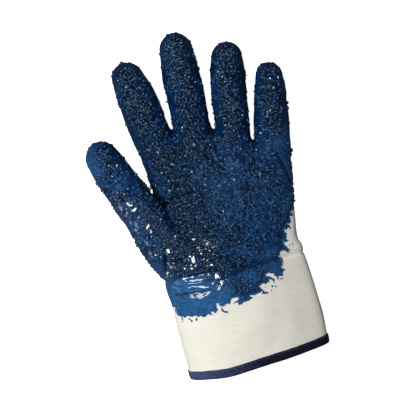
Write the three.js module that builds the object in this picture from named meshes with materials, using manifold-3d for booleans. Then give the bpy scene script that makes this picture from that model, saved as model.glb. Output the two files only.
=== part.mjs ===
// A left-hand work glove, lying on its back with the palm up: a cotton jersey liner, a rough
// rubber coating dipped over its palm and fingers, a canvas gauntlet cuff sewn to the wrist,
// and a tape that binds the cuff's hem. Every piece is a hollow wall, open at the wrist.
// Millimetres, +Z up, +Y from the hem to the fingertips, +X to the little finger's side.
import * as THREE from "three";
import { mergeVertices } from "three/addons/utils/BufferGeometryUtils.js";
import Module from "manifold-3d";

const wasm = await Module();
wasm.setup();

// Walls, and the gap that pieces keep
const GAP = 0.3;
const LINER_WALL = 1.2;
const COATING_WALL = 1.0;
const CUFF_WALL = 1.6;
const TAPE = 1.0;

// The cloth's outer face is the zero that every other face is offset from
const CLOTH = 0;
const LINER_INSIDE = -LINER_WALL;
const CUFF_INSIDE = -CUFF_WALL;
const COATING_INSIDE = GAP;
const COATING_OUTSIDE = GAP + COATING_WALL;
const CLOTH_REST = COATING_OUTSIDE; // the coating and the tape lie on the surface, the cloth just above it

// The cuff: its hem, the seam to the liner, and what it turns in behind the seam
const HEM_Y = -81.9;
const SEAM_Y = -4.5;
const SEAM_ALLOWANCE = 8;
const ALLOWANCE_WALL = 1.2;
const ALLOWANCE_STEP = 5; // the cuff's wall is full again this far below the seam
const ALLOWANCE_SLOPE = 1;
const TAPE_WIDTH = 6;

// How finely each ring is drawn
const HAND_SIDES = 30;
const DIGIT_SIDES = 14;
const DIGIT_RINGS = 7;
const CAP_RINGS = 3;
const CAP_OPEN = 0.35; // a fingertip's last ring stops this share of a step before the pole
const DIGIT_POWER = 2.15;
const LEAST_STEP = 0.5; // sections closer than this become one
const SAME_POINT = 1e-4;

// Where the hand's end turns towards the web of the fingers, and so is offset in y too
const WEB_START_Y = 75;
const WEB_FULL_Y = 101;

// Rows become objects, so that each number is read by its column's name
function table(columns, rows) {
  return rows.map((row) => Object.fromEntries(columns.map((c, i) => [c, row[i]])));
}

// Sections of the hand and cuff, from the hem to the web of the fingers, on the cloth's outer face.
// A section's y is lift by slant for each mm of x and lowered by bow for each square mm of it. swell
// thickens the thumb's side, dish hollows the palm's middle, and power 2 is an ellipse, more is squarer.
const HAND = table(
  ["y", "slant", "bow", "left", "right", "bottom", "top", "swell", "dish", "power"],
  [
    [HEM_Y, 0.0625, -0.00013, -50.7, 61.2, -2.0, 44.0, 0.22, 0, 2.3],
    [-61.0, 0.04, 0, -52.5, 62.0, -2.0, 45.0, 0.22, 0, 2.3],
    [-40.0, 0.015, 0, -53.6, 61.2, -2.0, 46.0, 0.22, 0, 2.3],
    [-22.0, 0, 0, -54.0, 60.0, -2.0, 46.0, 0.22, 0, 2.3],
    [-8.0, 0, 0, -55.4, 58.5, -2.0, 45.0, 0.2, 0, 2.3],
    [SEAM_Y, 0, 0, -55.4, 57.4, -2.0, 43.2, 0.2, 0, 2.3],
    [0.0, 0, 0, -56.4, 58.2, -2.0, 45.4, 0.18, 0, 2.3],
    [12.0, 0, 0, -61.8, 56.3, -2.0, 44.5, 0.16, 2.0, 2.3],
    [26.0, 0, 0, -65.0, 56.4, -2.0, 43.5, 0.14, 3.6, 2.3],
    [44.0, 0, 0, -63.0, 58.2, -2.0, 41.0, 0.1, 4.2, 2.4],
    [60.0, -0.02, 0.0002, -51.5, 60.0, -2.0, 36.6, 0.03, 3.2, 2.5],
    [75.0, -0.06, 0.001, -48.6, 61.8, -1.5, 32.2, 0, 1.6, 2.6],
    [90.0, -0.18, 0.0025, -48.6, 61.6, 0.5, 28.8, 0, 0.5, 2.6],
    [101.0, -0.25, 0.004, -46.0, 58.0, 5.5, 25.0, 0, 0, 2.4],
    [106.4, -0.26, 0.005, -44.0, 55.5, 9.5, 21.2, 0, 0, 2.2],
    [108.6, -0.27, 0.0054, -42.0, 53.0, 13.0, 17.6, 0, 0, 2.0],
  ],
);

// Stations along each digit's middle line, with its half width and half depth on the cloth's face
const DIGIT_COLUMNS = ["x", "y", "z", "width", "depth"];
const DIGITS = {
  thumb: table(DIGIT_COLUMNS, [
    [-35.0, 3.0, 24.0, 13.0, 13.5],
    [-47.0, 20.0, 27.5, 18.8, 19.0],
    [-57.0, 42.0, 31.5, 17.2, 17.2],
    [-68.5, 68.0, 37.0, 14.4, 15.0],
    [-78.0, 89.0, 40.5, 13.6, 13.3],
    [-83.2, 102.0, 42.0, 12.2, 12.0],
    [-87.2, 112.8, 43.0, 10.2, 10.2],
  ]),
  index_finger: table(DIGIT_COLUMNS, [
    [-32.5, 66.0, 17.5, 15.0, 14.8],
    [-38.2, 98.0, 16.5, 14.8, 14.3],
    [-44.6, 124.0, 18.0, 14.8, 13.5],
    [-48.6, 146.0, 21.0, 13.6, 12.4],
    [-51.6, 161.0, 24.0, 11.2, 11.0],
    [-53.2, 172.5, 26.5, 9.6, 9.6],
  ]),
  middle_finger: table(DIGIT_COLUMNS, [
    [-7.0, 70.0, 17.0, 14.8, 14.6],
    [-9.2, 108.0, 16.5, 14.0, 13.8],
    [-9.4, 130.0, 17.5, 13.6, 13.2],
    [-9.4, 152.0, 20.0, 13.8, 12.6],
    [-8.9, 171.0, 23.5, 12.2, 11.4],
    [-8.4, 187.0, 27.5, 10.2, 10.0],
  ]),
  ring_finger: table(DIGIT_COLUMNS, [
    [18.5, 66.0, 17.0, 14.4, 14.4],
    [23.2, 104.0, 16.5, 12.8, 13.4],
    [25.4, 128.0, 18.0, 13.0, 12.8],
    [28.0, 150.0, 21.0, 13.0, 12.0],
    [29.6, 162.0, 24.0, 11.4, 11.0],
    [30.2, 172.5, 26.5, 9.8, 9.8],
  ]),
  little_finger: table(DIGIT_COLUMNS, [
    [45.0, 56.0, 16.5, 14.4, 14.4],
    [50.6, 80.0, 16.0, 14.0, 13.6],
    [55.2, 106.0, 17.0, 13.2, 12.6],
    [58.4, 128.0, 20.0, 11.8, 11.2],
    [60.3, 141.0, 23.0, 9.8, 9.8],
    [61.0, 149.5, 25.5, 8.4, 8.6],
  ]),
};

// The edge that the dip left: where it crosses the palm, and where it crosses the back
const DIP_EDGE = table(
  ["x", "palm", "back"],
  [
    [-110, -24, -8],
    [-56, -26, 0],
    [-48, -33, 5],
    [-30, -35, 15],
    [-12, -33, 24],
    [0, -29, 30],
    [14, -28, 38],
    [22, -20, 43],
    [36, -17, 49],
    [42, 3, 52],
    [50, 19, 56],
    [57, 31, 60],
    [110, 36, 70],
  ],
);
const DIP_BACK_Z = 3; // below this height the edge is the back's
const DIP_PALM_Z = 21; // above this height it is the palm's

// The edge wanders by waves that never line up, in mm, and in radians for each mm across and up
const DIP_WAVES = table(
  ["size", "across", "up", "start"],
  [
    [0.65, 0.83, 0, 0],
    [0.45, 1.91, 0, 1],
    [0.33, 0.3, 0.9, 0],
  ],
);
const DIP_COLUMN = 4; // the spacing of its points across the glove
const DIP_REACH = 110; // the dip covers everything between -110 and 110 in x
const DIP_LEVELS = [-20, 3, 7.5, 12, 16.5, 21, 80];
const DIP_TOP_Y = 230;

function lerp(a, b, t) {
  return a + (b - a) * t;
}

// One row between two rows of a table, at a value of its key column
function rowAt(rows, key, value) {
  const later = rows.findIndex((r, i) => i > 0 && r[key] >= value);
  const b = rows.at(later);
  const a = rows.at(later - 1);
  const t = (value - a[key]) / (b[key] - a[key]);
  return Object.fromEntries(Object.keys(a).map((k) => [k, lerp(a[k], b[k], t)]));
}

// The table's sections from one height to another, with one at each end
function rowsBetween(from, to) {
  const inside = HAND.filter((r) => r.y > from + LEAST_STEP && r.y < to - LEAST_STEP);
  return [rowAt(HAND, "y", from), ...inside, rowAt(HAND, "y", to)];
}

// A point of a ring with round-cornered sides: power 2 is an ellipse, and more is squarer
function roundSquare(angle, power) {
  const along = (v) => Math.sign(v) * Math.abs(v) ** (2 / power);
  return [along(Math.cos(angle)), along(Math.sin(angle))];
}

// One section of the hand or cuff, its faces moved outwards by offset and flattened where it lies
function handRing(row, offset) {
  const middleX = (row.left + row.right) / 2;
  const middleZ = (row.bottom + row.top) / 2;
  const halfX = (row.right - row.left) / 2 + offset;
  const halfZ = (row.top - row.bottom) / 2 + offset;
  const floor = CLOTH_REST - offset;
  const ring = [];
  for (let i = 0; i < HAND_SIDES; i++) {
    const [u, v] = roundSquare((2 * Math.PI * (i + 0.5)) / HAND_SIDES, row.power);
    const x = middleX + halfX * u;
    const hollow = row.dish * Math.max(v, 0) * (1 - u * u);
    const z = middleZ + halfZ * v * (1 - row.swell * u) - hollow;
    const y = row.y + row.slant * x - row.bow * x * x;
    ring.push(new THREE.Vector3(x, y, Math.max(z, floor)));
  }
  return ring;
}

// A closed solid through rings that all have the same number of points. Each end is closed by
// rungs across the ring, from a point of its upper half to the one below it.
function loft(rings) {
  const sides = rings[0].length;
  const faces = [];
  const lastRing = (rings.length - 1) * sides;
  for (let i = 0; i < sides; i++) {
    const j = (i + 1) % sides;
    for (let r = 0; r < lastRing; r += sides) {
      faces.push(r + i, r + j, r + sides + j, r + i, r + sides + j, r + sides + i);
    }
  }
  for (let i = 0; i < sides / 2 - 1; i++) {
    const below = sides - 1 - i;
    faces.push(i, below, i + 1, i + 1, below, below - 1);
    faces.push(lastRing + i, lastRing + i + 1, lastRing + below);
    faces.push(lastRing + i + 1, lastRing + below - 1, lastRing + below);
  }
  return solid(rings.flat(), faces);
}

// A closed sleeve: the last ring joins the first, so the rings go round the wall's own section
function sleeve(rings) {
  const sides = rings[0].length;
  const faces = [];
  rings.forEach((_, k) => {
    const r = k * sides;
    const s = ((k + 1) % rings.length) * sides;
    for (let i = 0; i < sides; i++) {
      const j = (i + 1) % sides;
      faces.push(r + i, r + j, s + j, r + i, s + j, s + i);
    }
  });
  return solid(rings.flat(), faces);
}

// A manifold solid from points and faces, turned the right way out
function solid(points, faces) {
  const vertProperties = new Float32Array(points.flatMap((p) => p.toArray()));
  const volume = (f) => {
    let sum = 0;
    for (let i = 0; i < f.length; i += 3) {
      sum += points[f[i]].dot(points[f[i + 1]].clone().cross(points[f[i + 2]]));
    }
    return sum;
  };
  const triVerts = new Uint32Array(volume(faces) > 0 ? faces : faces.toReversed());
  return new wasm.Manifold(new wasm.Mesh({ numProp: 3, vertProperties, triVerts }));
}

// The rings of one digit, from inside the palm to the rounded tip
function digitRings(stations, offset) {
  const path = new THREE.CatmullRomCurve3(
    stations.map((s) => new THREE.Vector3(s.x, s.y, s.z)),
    false,
    "centripetal",
  );
  const length = path.getLength() + offset;
  const sized = (u, key) => {
    const at = Math.min(u, 1) * (stations.length - 1);
    const i = Math.min(Math.floor(at), stations.length - 2);
    return lerp(stations[i][key], stations[i + 1][key], at - i);
  };
  const cap = stations.at(-1).width + offset;
  const places = [];
  for (let i = 0; i < DIGIT_RINGS; i++) {
    places.push({ s: (i / (DIGIT_RINGS - 1)) * (length - cap), shrink: 1 });
  }
  for (let i = 1; i <= CAP_RINGS; i++) {
    const angle = (i / (CAP_RINGS + CAP_OPEN)) * (Math.PI / 2);
    places.push({ s: length - cap + cap * Math.sin(angle), shrink: Math.cos(angle) });
  }
  const total = path.getLength();
  return places.map(({ s, shrink }) => {
    const along = Math.min(s / total, 1);
    const t = path.getUtoTmapping(along);
    const centre = path.getPoint(t);
    const forward = path.getTangent(t);
    centre.addScaledVector(forward, Math.max(0, s - total));
    const side = forward.clone().cross(new THREE.Vector3(0, 0, 1)).normalize();
    const up = side.clone().cross(forward);
    const width = (sized(t, "width") + offset) * shrink;
    const depth = (sized(t, "depth") + offset) * shrink;
    const ring = [];
    for (let i = 0; i < DIGIT_SIDES; i++) {
      const [u, v] = roundSquare((2 * Math.PI * (i + 0.5)) / DIGIT_SIDES, DIGIT_POWER);
      const p = centre.clone().addScaledVector(side, u * width).addScaledVector(up, v * depth);
      p.z = Math.max(p.z, CLOTH_REST - offset);
      ring.push(p);
    }
    return ring;
  });
}

// The whole glove as one solid from startY up, with its faces offset from the cloth's outer face
function handSolid(offset, startY) {
  const sections = rowsBetween(startY, HAND.at(-1).y).map((row) => {
    const web = THREE.MathUtils.smoothstep(row.y, WEB_START_Y, WEB_FULL_Y);
    return handRing({ ...row, y: row.y + offset * web }, offset);
  });
  return Object.values(DIGITS).reduce(
    (whole, stations) => whole.add(loft(digitRings(stations, offset))),
    loft(sections),
  );
}

// How far the dip's edge wanders from its table
function raggedness(x, z) {
  const wave = (w) => w.size * Math.sin(w.across * x + w.up * z + w.start);
  return DIP_WAVES.reduce((sum, w) => sum + wave(w), 0);
}

function dipEdgeY(x, z) {
  const row = rowAt(DIP_EDGE, "x", x);
  const share = THREE.MathUtils.smoothstep(z, DIP_BACK_Z, DIP_PALM_Z);
  return lerp(row.back, row.palm, share) + raggedness(x, z);
}

// Everything that went under the surface of the dip
function dipSolid() {
  const columns = [];
  for (let x = -DIP_REACH; x <= DIP_REACH; x += DIP_COLUMN) columns.push(x);
  const rings = columns.map((x) => [
    ...DIP_LEVELS.map((z) => new THREE.Vector3(x, dipEdgeY(x, z), z)),
    ...DIP_LEVELS.toReversed().map((z) => new THREE.Vector3(x, DIP_TOP_Y, z)),
  ]);
  return loft(rings);
}

// A ring on the cuff's wall, at a height above the hem that may be negative, past the edge
function cuffRing(y, offset) {
  return handRing({ ...rowAt(HAND, "y", Math.max(y, HEM_Y)), y }, offset);
}

function makeLiner() {
  const inside = handSolid(LINER_INSIDE, SEAM_Y - SEAM_ALLOWANCE);
  return handSolid(CLOTH, SEAM_Y + GAP).subtract(inside);
}

function makeCoating() {
  const bottom = HEM_Y + TAPE_WIDTH;
  const wall = handSolid(COATING_OUTSIDE, bottom + GAP).subtract(handSolid(COATING_INSIDE, bottom));
  return wall.intersect(dipSolid());
}

// The cuff's outer wall ends at the seam, and a thinner strip goes on inside the liner
function makeCuff() {
  const allowanceOutside = LINER_INSIDE - GAP;
  const allowanceInside = allowanceOutside - ALLOWANCE_WALL;
  const wall = (from, to, offset) => rowsBetween(from, to).map((row) => handRing(row, offset));
  return sleeve([
    ...wall(HEM_Y, SEAM_Y, CLOTH),
    ...wall(SEAM_Y, SEAM_Y + SEAM_ALLOWANCE, allowanceOutside),
    ...wall(SEAM_Y - ALLOWANCE_STEP, SEAM_Y + SEAM_ALLOWANCE, allowanceInside).toReversed(),
    ...wall(HEM_Y, SEAM_Y - ALLOWANCE_STEP - ALLOWANCE_SLOPE, CUFF_INSIDE).toReversed(),
  ]);
}

// The tape folds round the hem, and lies on both faces of the cuff
function makeHemTape() {
  const near = CLOTH + GAP;
  const far = CUFF_INSIDE - GAP;
  const top = HEM_Y + TAPE_WIDTH;
  const fold = HEM_Y - GAP;
  return sleeve([
    cuffRing(top, near),
    cuffRing(top, near + TAPE),
    cuffRing(fold - TAPE / 2, near + TAPE),
    cuffRing(fold - TAPE, near),
    cuffRing(fold - TAPE, far),
    cuffRing(fold - TAPE / 2, far - TAPE),
    cuffRing(top, far - TAPE),
    cuffRing(top, far),
    cuffRing(fold, far),
    cuffRing(fold, near),
  ]);
}

// A named mesh from a solid
function piece(name, made, material) {
  const mesh = made.getMesh();
  const geometry = new THREE.BufferGeometry();
  geometry.setAttribute("position", new THREE.BufferAttribute(mesh.vertProperties, 3));
  geometry.setIndex(new THREE.BufferAttribute(mesh.triVerts, 1));
  const shown = new THREE.Mesh(mergeVertices(geometry, SAME_POINT), material);
  shown.name = name;
  return shown;
}

const rubber = new THREE.MeshStandardMaterial({ color: 0x12355f, roughness: 0.3, metalness: 0 });
const jersey = new THREE.MeshStandardMaterial({ color: 0xded9c6, roughness: 0.95, metalness: 0 });
const canvas = new THREE.MeshStandardMaterial({ color: 0xe3dfce, roughness: 0.9, metalness: 0 });
const binding = new THREE.MeshStandardMaterial({ color: 0x1a1c45, roughness: 0.85, metalness: 0 });

const glove = new THREE.Group();
glove.add(
  piece("coating", makeCoating(), rubber),
  piece("liner", makeLiner(), jersey),
  piece("cuff", makeCuff(), canvas),
  piece("hem_tape", makeHemTape(), binding),
);

// The origin is the middle of the glove's footprint, on the surface it lies on
const box = new THREE.Box3().setFromObject(glove);
const middle = box.getCenter(new THREE.Vector3());
glove.position.set(-middle.x, -middle.y, -box.min.z);

export default glove;
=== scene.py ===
"""A rough rubber-dipped work glove with a canvas safety cuff, lying palm up: the looks around its frame.

Sizes in the tables are millimetres in the glove's own layout, which the frame's origin is moved from.
"""
import functools
import math

import bpy
import numpy as np
from bpy.props import FloatProperty, FloatVectorProperty, PointerProperty
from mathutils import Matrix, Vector


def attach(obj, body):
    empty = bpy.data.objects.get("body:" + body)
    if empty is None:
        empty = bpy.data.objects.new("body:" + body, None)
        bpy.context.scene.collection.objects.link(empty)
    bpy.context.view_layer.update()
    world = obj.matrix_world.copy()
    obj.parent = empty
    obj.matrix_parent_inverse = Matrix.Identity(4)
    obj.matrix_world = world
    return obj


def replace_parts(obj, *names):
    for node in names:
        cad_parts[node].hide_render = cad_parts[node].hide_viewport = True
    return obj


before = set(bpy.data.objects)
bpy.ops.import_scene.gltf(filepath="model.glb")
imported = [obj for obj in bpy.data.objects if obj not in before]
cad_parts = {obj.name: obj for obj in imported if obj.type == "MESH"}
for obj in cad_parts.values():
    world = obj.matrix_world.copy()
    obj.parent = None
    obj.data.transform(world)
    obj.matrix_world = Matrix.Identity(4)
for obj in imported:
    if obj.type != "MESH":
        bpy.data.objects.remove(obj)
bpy.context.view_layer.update()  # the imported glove: one body, root, with the nodes coating, liner, cuff and hem_tape

bl_info = {
    "name": "Rough Dipped Work Glove",
    "version": (1, 0, 0),
    "blender": (4, 5, 0),
    "location": "View3D > Sidebar > Glove",
    "description": "Builds a rubber-dipped work glove with a canvas cuff, and the stage that it lies on",
    "category": "Add Mesh",
}

MM = 0.001
BODY = "root"
FOOTPRINT_MIDDLE = (-12.387, 51.261)  # where the frame's origin is in the glove's layout

# Sections of the hand and cuff, from the hem to the web of the fingers, on the cloth's outer face.
# A section's y is lifted by slant for each mm of x and lowered by bow for each square mm of it. swell
# thickens the thumb's side, dish hollows the palm's middle, and power 2 is an ellipse, more is squarer.
SECTION_COLUMNS = ("y", "slant", "bow", "left", "right", "bottom", "top", "swell", "dish", "power")
SECTIONS = (
    (-83, 0.045, -0.00056, -51.2, 62.6, -2, 44, 0.22, 0, 2.3),
    (-61, 0.04, 0, -53, 63, -2, 45, 0.22, 0, 2.3),
    (-40, 0.015, 0, -54.1, 61.8, -2, 46, 0.22, 0, 2.3),
    (-22, 0, 0, -54.4, 60.2, -2, 46, 0.22, 0, 2.3),
    (-8, 0, 0, -55.6, 58.8, -2, 45, 0.2, 0, 2.3),
    (-4.5, 0, 0, -55.6, 58.5, -2, 43.2, 0.2, 0, 2.3),
    (0, 0, 0, -56, 58.4, -2, 45.4, 0.18, 0, 2.3),
    (4, 0, 0, -57.2, 57.8, -2, 45.2, 0.18, 0.4, 2.3),
    (7, 0, 0, -58.6, 56, -2, 44.9, 0.17, 1, 2.3),
    (12, 0, 0, -60.6, 56.1, -2, 44.5, 0.16, 2, 2.3),
    (26, 0, 0, -64, 57.8, -2, 43.5, 0.14, 3.6, 2.3),
    (44, 0, 0, -62, 59.6, -2, 41, 0.1, 4.2, 2.4),
    (60, -0.02, 0.0002, -51.5, 60.6, -2, 36.6, 0.03, 3.2, 2.5),
    (75, -0.06, 0.001, -48.6, 61.8, -1.5, 32.2, 0, 1.6, 2.6),
    (90, -0.18, 0.0025, -48.6, 61.6, 0.5, 28.8, 0, 0.5, 2.6),
    (101, -0.25, 0.004, -46, 58, 5.5, 25, 0, 0, 2.4),
    (106.4, -0.26, 0.005, -44, 55.5, 9.5, 21.2, 0, 0, 2.2),
    (108.6, -0.27, 0.0054, -42, 53, 13, 17.6, 0, 0, 2),
)
HEM_ROW = dict(zip(SECTION_COLUMNS, SECTIONS[0]))
CLOTH_REST = 1.3  # how far above the floor the cloth's face rests, with the rubber under it

# Stations along each digit's middle line: x, y, z, half width and half depth on the cloth's face
DIGITS = {
    "thumb": (
        (-35, 3, 24, 13, 13.5),
        (-47, 20, 27.5, 17.6, 18.6),
        (-57, 42, 31.5, 16.2, 17),
        (-68.5, 68, 37, 14.4, 15),
        (-78, 89, 40.5, 13.6, 13.3),
        (-83.2, 102, 42, 12.2, 12),
        (-88, 112.4, 43, 9.6, 9.8),
    ),
    "index_finger": (
        (-32.5, 66, 17.5, 15, 14.8),
        (-38.2, 98, 16.5, 14.8, 14.3),
        (-44.6, 124, 18, 14.8, 13.5),
        (-48.6, 146, 21, 13.6, 12.4),
        (-51.6, 161, 24, 11.2, 11),
        (-53.2, 172.5, 26.5, 9.6, 9.6),
    ),
    "middle_finger": (
        (-7, 70, 17, 14.8, 14.6),
        (-9.2, 108, 16.5, 14, 13.8),
        (-9.4, 130, 17.5, 13.6, 13.2),
        (-9.4, 152, 20, 13.8, 12.6),
        (-8.9, 171, 23.5, 12.2, 11.4),
        (-8.4, 187, 27.5, 10.2, 10),
    ),
    "ring_finger": (
        (18.5, 66, 17, 14.4, 14.4),
        (23.2, 104, 16.5, 12.8, 13.4),
        (25.4, 128, 18, 13, 12.8),
        (28, 150, 21, 13, 12),
        (29.6, 162, 24, 11.4, 11),
        (30.2, 172.5, 26.5, 9.8, 9.8),
    ),
    "little_finger": (
        (45, 56, 16.5, 14.4, 14.4),
        (50.6, 80, 16, 14, 13.6),
        (55.2, 106, 17, 13.2, 12.6),
        (58.4, 128, 20, 11.8, 11.2),
        (60.3, 141, 23, 9.8, 9.8),
        (61, 149.5, 25.5, 8.4, 8.6),
    ),
}
DIGIT_POWER = 2.15

# The dip's edge where it crosses the palm, as x and y from the left side to the right
PALM_EDGE = (
    (-110, -14), (-70, -18), (-57, -22), (-53.5, -25.5), (-51.5, -25.5), (-52, -27), (-51.5, -31.5),
    (-48.5, -33), (-48.5, -34.5), (-47.5, -35.5), (-46.5, -33.5), (-45, -34.5), (-42, -33), (-40.5, -34.5),
    (-39, -35), (-38, -34), (-35, -35), (-33.5, -34), (-31.5, -36.5), (-29, -36), (-28, -36.5), (-28, -35.5),
    (-25.5, -34.5), (-24.5, -35.5), (-23.5, -35.5), (-25, -34), (-23.5, -33.5), (-20.5, -35), (-18, -33),
    (-19.5, -31.5), (-19.5, -29), (-18.5, -28.5), (-17, -29), (-17.5, -30.5), (-16.5, -31), (-16, -34),
    (-16.5, -34.5), (-15.5, -35.5), (-12.5, -37), (-12, -36.5), (-12.5, -35.5), (-15, -33), (-15, -31.5),
    (-13.5, -31.5), (-10, -30), (-8, -30.5), (-7, -31), (-7.5, -29), (-6.5, -27.5), (-4, -26.5),
    (-2.5, -26.5), (-1, -27), (-1.5, -28.5), (-5, -29.5), (-5.5, -30.5), (-4, -30), (-1.5, -30), (-2, -32),
    (-1, -32.5), (2, -31.5), (7, -31), (9.5, -30), (8, -27.5), (10.5, -27), (12, -28.5), (13, -27.5),
    (17.5, -26.5), (18.5, -28.5), (20, -29), (22.5, -28.5), (22.5, -27), (20, -27), (19, -25), (17.5, -23.5),
    (17, -22), (18.5, -21.5), (20, -21), (21.5, -22), (23, -21), (25, -20), (25, -18.5), (25.5, -17.5),
    (27, -18), (28, -19.5), (29, -21), (29.5, -20.5), (28.5, -18.5), (26.5, -16.5), (24.5, -15.5),
    (23.5, -15), (24.5, -14), (26.5, -14), (28.5, -14.5), (29.5, -15), (30.5, -16.5), (32, -17.5), (32, -19),
    (33.5, -20), (36.5, -20.5), (36, -20), (33.5, -19), (32.5, -18), (33.5, -17), (36, -18), (37, -17.5),
    (36.5, -16), (39, -14), (39, -13), (36.5, -11.5), (36.5, -10.5), (38.5, -10.5), (38.5, -9), (39, -6.5),
    (38.5, -4.5), (36, -3.5), (36, -2.5), (37.5, -1.5), (39, 0.5), (41, 1), (42.5, -0.5), (43.5, 1),
    (45, -1), (45.5, 0), (45, 3.5), (43, 4.5), (43, 6), (42, 7.5), (43, 8.5), (44.5, 7.5), (45.5, 9.5),
    (46.5, 14.5), (45.5, 16.5), (46, 17), (47, 15.5), (49.5, 17.5), (51, 16.5), (51, 18), (50, 21),
    (51, 20.5), (53, 22.5), (53, 26), (54.5, 26), (54, 29.5), (56.5, 31.5), (57.5, 34.5), (75, 38), (110, 42),
)
EDGE_TOP = 80.0  # everything further up the hand is deep inside the dip

# Drops of rubber past the edge: x, y and radius
EDGE_DROPS = (
    (-42, -36, 0.6), (-45, -37.5, 0.7), (-47.5, -37, 0.4), (-37, -37.2, 0.8), (-40.5, -37.5, 0.4),
    (21.5, -23.5, 0.5), (22.5, -24, 0.5), (25.5, -27, 0.6), (26.5, -24.5, 0.4), (29, -25, 0.4),
    (46.5, 8, 0.7), (47, 4, 0.6), (47, 0.5, 0.6), (49, 15.5, 0.4), (50.5, 4, 0.4),
)

# The same edge where it crosses the back
BACK_EDGE = (
    (-110, -8), (-56, 0), (-48, 5), (-30, 15), (-12, 24), (0, 30), (14, 38), (22, 43), (36, 49), (50, 56),
    (57, 60), (110, 70),
)
EDGE_TURNS = (3.0, 21.0)  # below the first height the edge is the back's, above the second the palm's
DEEP_INSIDE = 50.0  # how deep everything above EDGE_TOP counts as
RAGS = ((0.5, 0, 2.6), (0.8, 40, 1.2), (0.5, 80, 0.7))  # how deep, a shift of the noise, and how wide
RAG_REACH = 2.5  # how near the edge the rags are
SPECK_REACH = 4.5  # how far past the edge specks of rubber can lie
SPECKS = (1.6, 1.7, 0.55, 0.07)  # their noise's height and width, what is taken off it, and how fast they end
ABOVE_ALL = 230.0  # past the fingertips

# The grid that holds the form, and how softly its parts join
GRID_LOW = (-103.0, -92.0, -3.0)
GRID_HIGH = (79.0, 196.0, 61.0)
GRID_STEP = 1.5
FINGERS = ("index_finger", "middle_finger", "ring_finger", "little_finger")
FINGER_FILLET = 1.4
WEB_FILLET = 6.0
THUMB_FILLET = 9.0
FLOOR_FILLET = 3.0
FACE_REACH = 7.0  # folds and lumps move the grid's values this near the face
# Each round of finer triangles: how near the dip's edge, and above what wetness
FINER_PARTS = ((1.2, 0.6), (0.6, 2.0))
BACK_SHARE = 0.4  # the reach on the back, as a share of the palm's
FINER_SEAM = (3.0, 1.6)  # how near the seam the cloth's triangles are cut, round by round

# Folds and ridges pressed into the palm's side and the back: height, half width, and where each one runs
PALM_FOLDS = (
    (-3.4, 2.6, ((-50, 68), (-45.5, 60), (-43, 55), (-42.5, 47), (-40, 39))),
    (-2.6, 2.4, ((-43, 56), (-36, 59), (-28, 61), (-20, 61))),
    (1.5, 4.5, ((-39, 51), (-29, 54.5), (-17, 56.5))),
    (-1, 7, ((-34, 40), (-28, 28), (-18, 16))),
    (-3, 2.2, ((-50.5, 18), (-51, 10), (-51, 3))),
    (1.3, 2.8, ((-59.5, 17), (-58, 6))),
    (1.2, 2.2, ((-48, 18), (-42, 17), (-34, 19))),
    (-1.2, 1.8, ((-50, 11), (-42, 10), (-33, 12))),
    (1.4, 2.6, ((-46, 5), (-36, 3), (-24, 4), (-14, 1))),
    (-1.3, 2, ((-40, -2), (-28, -3), (-18, -2))),
    (1, 2, ((-46, -11), (-34, -11.5), (-22, -14))),
    (-0.8, 1.6, ((-48, -15.5), (-38, -16), (-26, -18))),
    (-2, 3, ((-25.5, 114), (-22.5, 104), (-20, 94), (-17, 84))),
    (-1.2, 3, ((8.5, 108), (9, 98), (10, 88))),
    (-1.3, 3, ((37, 93), (36, 84), (34, 76))),
    (-1.2, 5, ((-14, 84), (2, 90), (22, 86), (44, 74))),
    (0.9, 6, ((-10, 72), (-6, 62), (-3, 50))),
    (-1, 5, ((-16, 30), (4, 24), (26, 18), (42, 12))),
    (0.7, 5, ((-10, 20), (10, 14), (30, 8))),
    (-0.9, 1.5, ((52, 78), (56, 66), (58, 54))),
    (0.7, 2, ((55, 82), (59, 68), (61, 56))),
    (-0.8, 3, ((-46, -30), (-30, -42), (-6, -46))),
    (0.6, 8, ((-30, -60), (6, -52), (40, -56))),
    (-0.7, 9, ((20, -74), (28, -50), (30, -28))),
)
BACK_FOLDS = (
    (-1.4, 4, ((-40, 30), (-20, 34), (0, 30))),
    (-1, 4, ((-30, 88), (0, 96), (30, 88))),
    (0.8, 6, ((-34, 60), (0, 64), (40, 56))),
    (-0.9, 5, ((-30, -10), (10, -14), (40, -8))),
)
FOLD_HEIGHTS = (12.0, 20.0)  # a palm fold is full above the second height, a back fold below the first
# A long slope that lowers the cuff's top on the right, full above the second of its heights
TOP_FOLDS = (
    (-3.6, 16.0, ((54, -90), (54, -12))),
)
TOP_HEIGHTS = (26.0, 38.0)

# The line where the liner is sewn to the cuff
SEAM = (
    (-110, -3), (-54, -4), (-44, -8.5), (-23, -9.4), (-6, -8.2), (12, -6.4), (35, -4.0), (58, -4.3),
    (110, -4.3),
)
SEAM_GROOVE = (-1.3, 1.5)  # how high and how wide
FAINT_SEAM = (48.0, 56.0, 0.7)  # from where to where on the right the groove fades, and by how much
LUMPS = ((0.55, 26.0), (0.3, 9.0))  # how high and how wide the cloth's own lumps are
CUFF_CALM = (-20.0, 0.0, 0.4)  # the lumps of the hand fade between these heights to this share on the cuff
HEM_DROOP = (1.6, -20.0, 17.0)  # how deep, where and how wide

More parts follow.
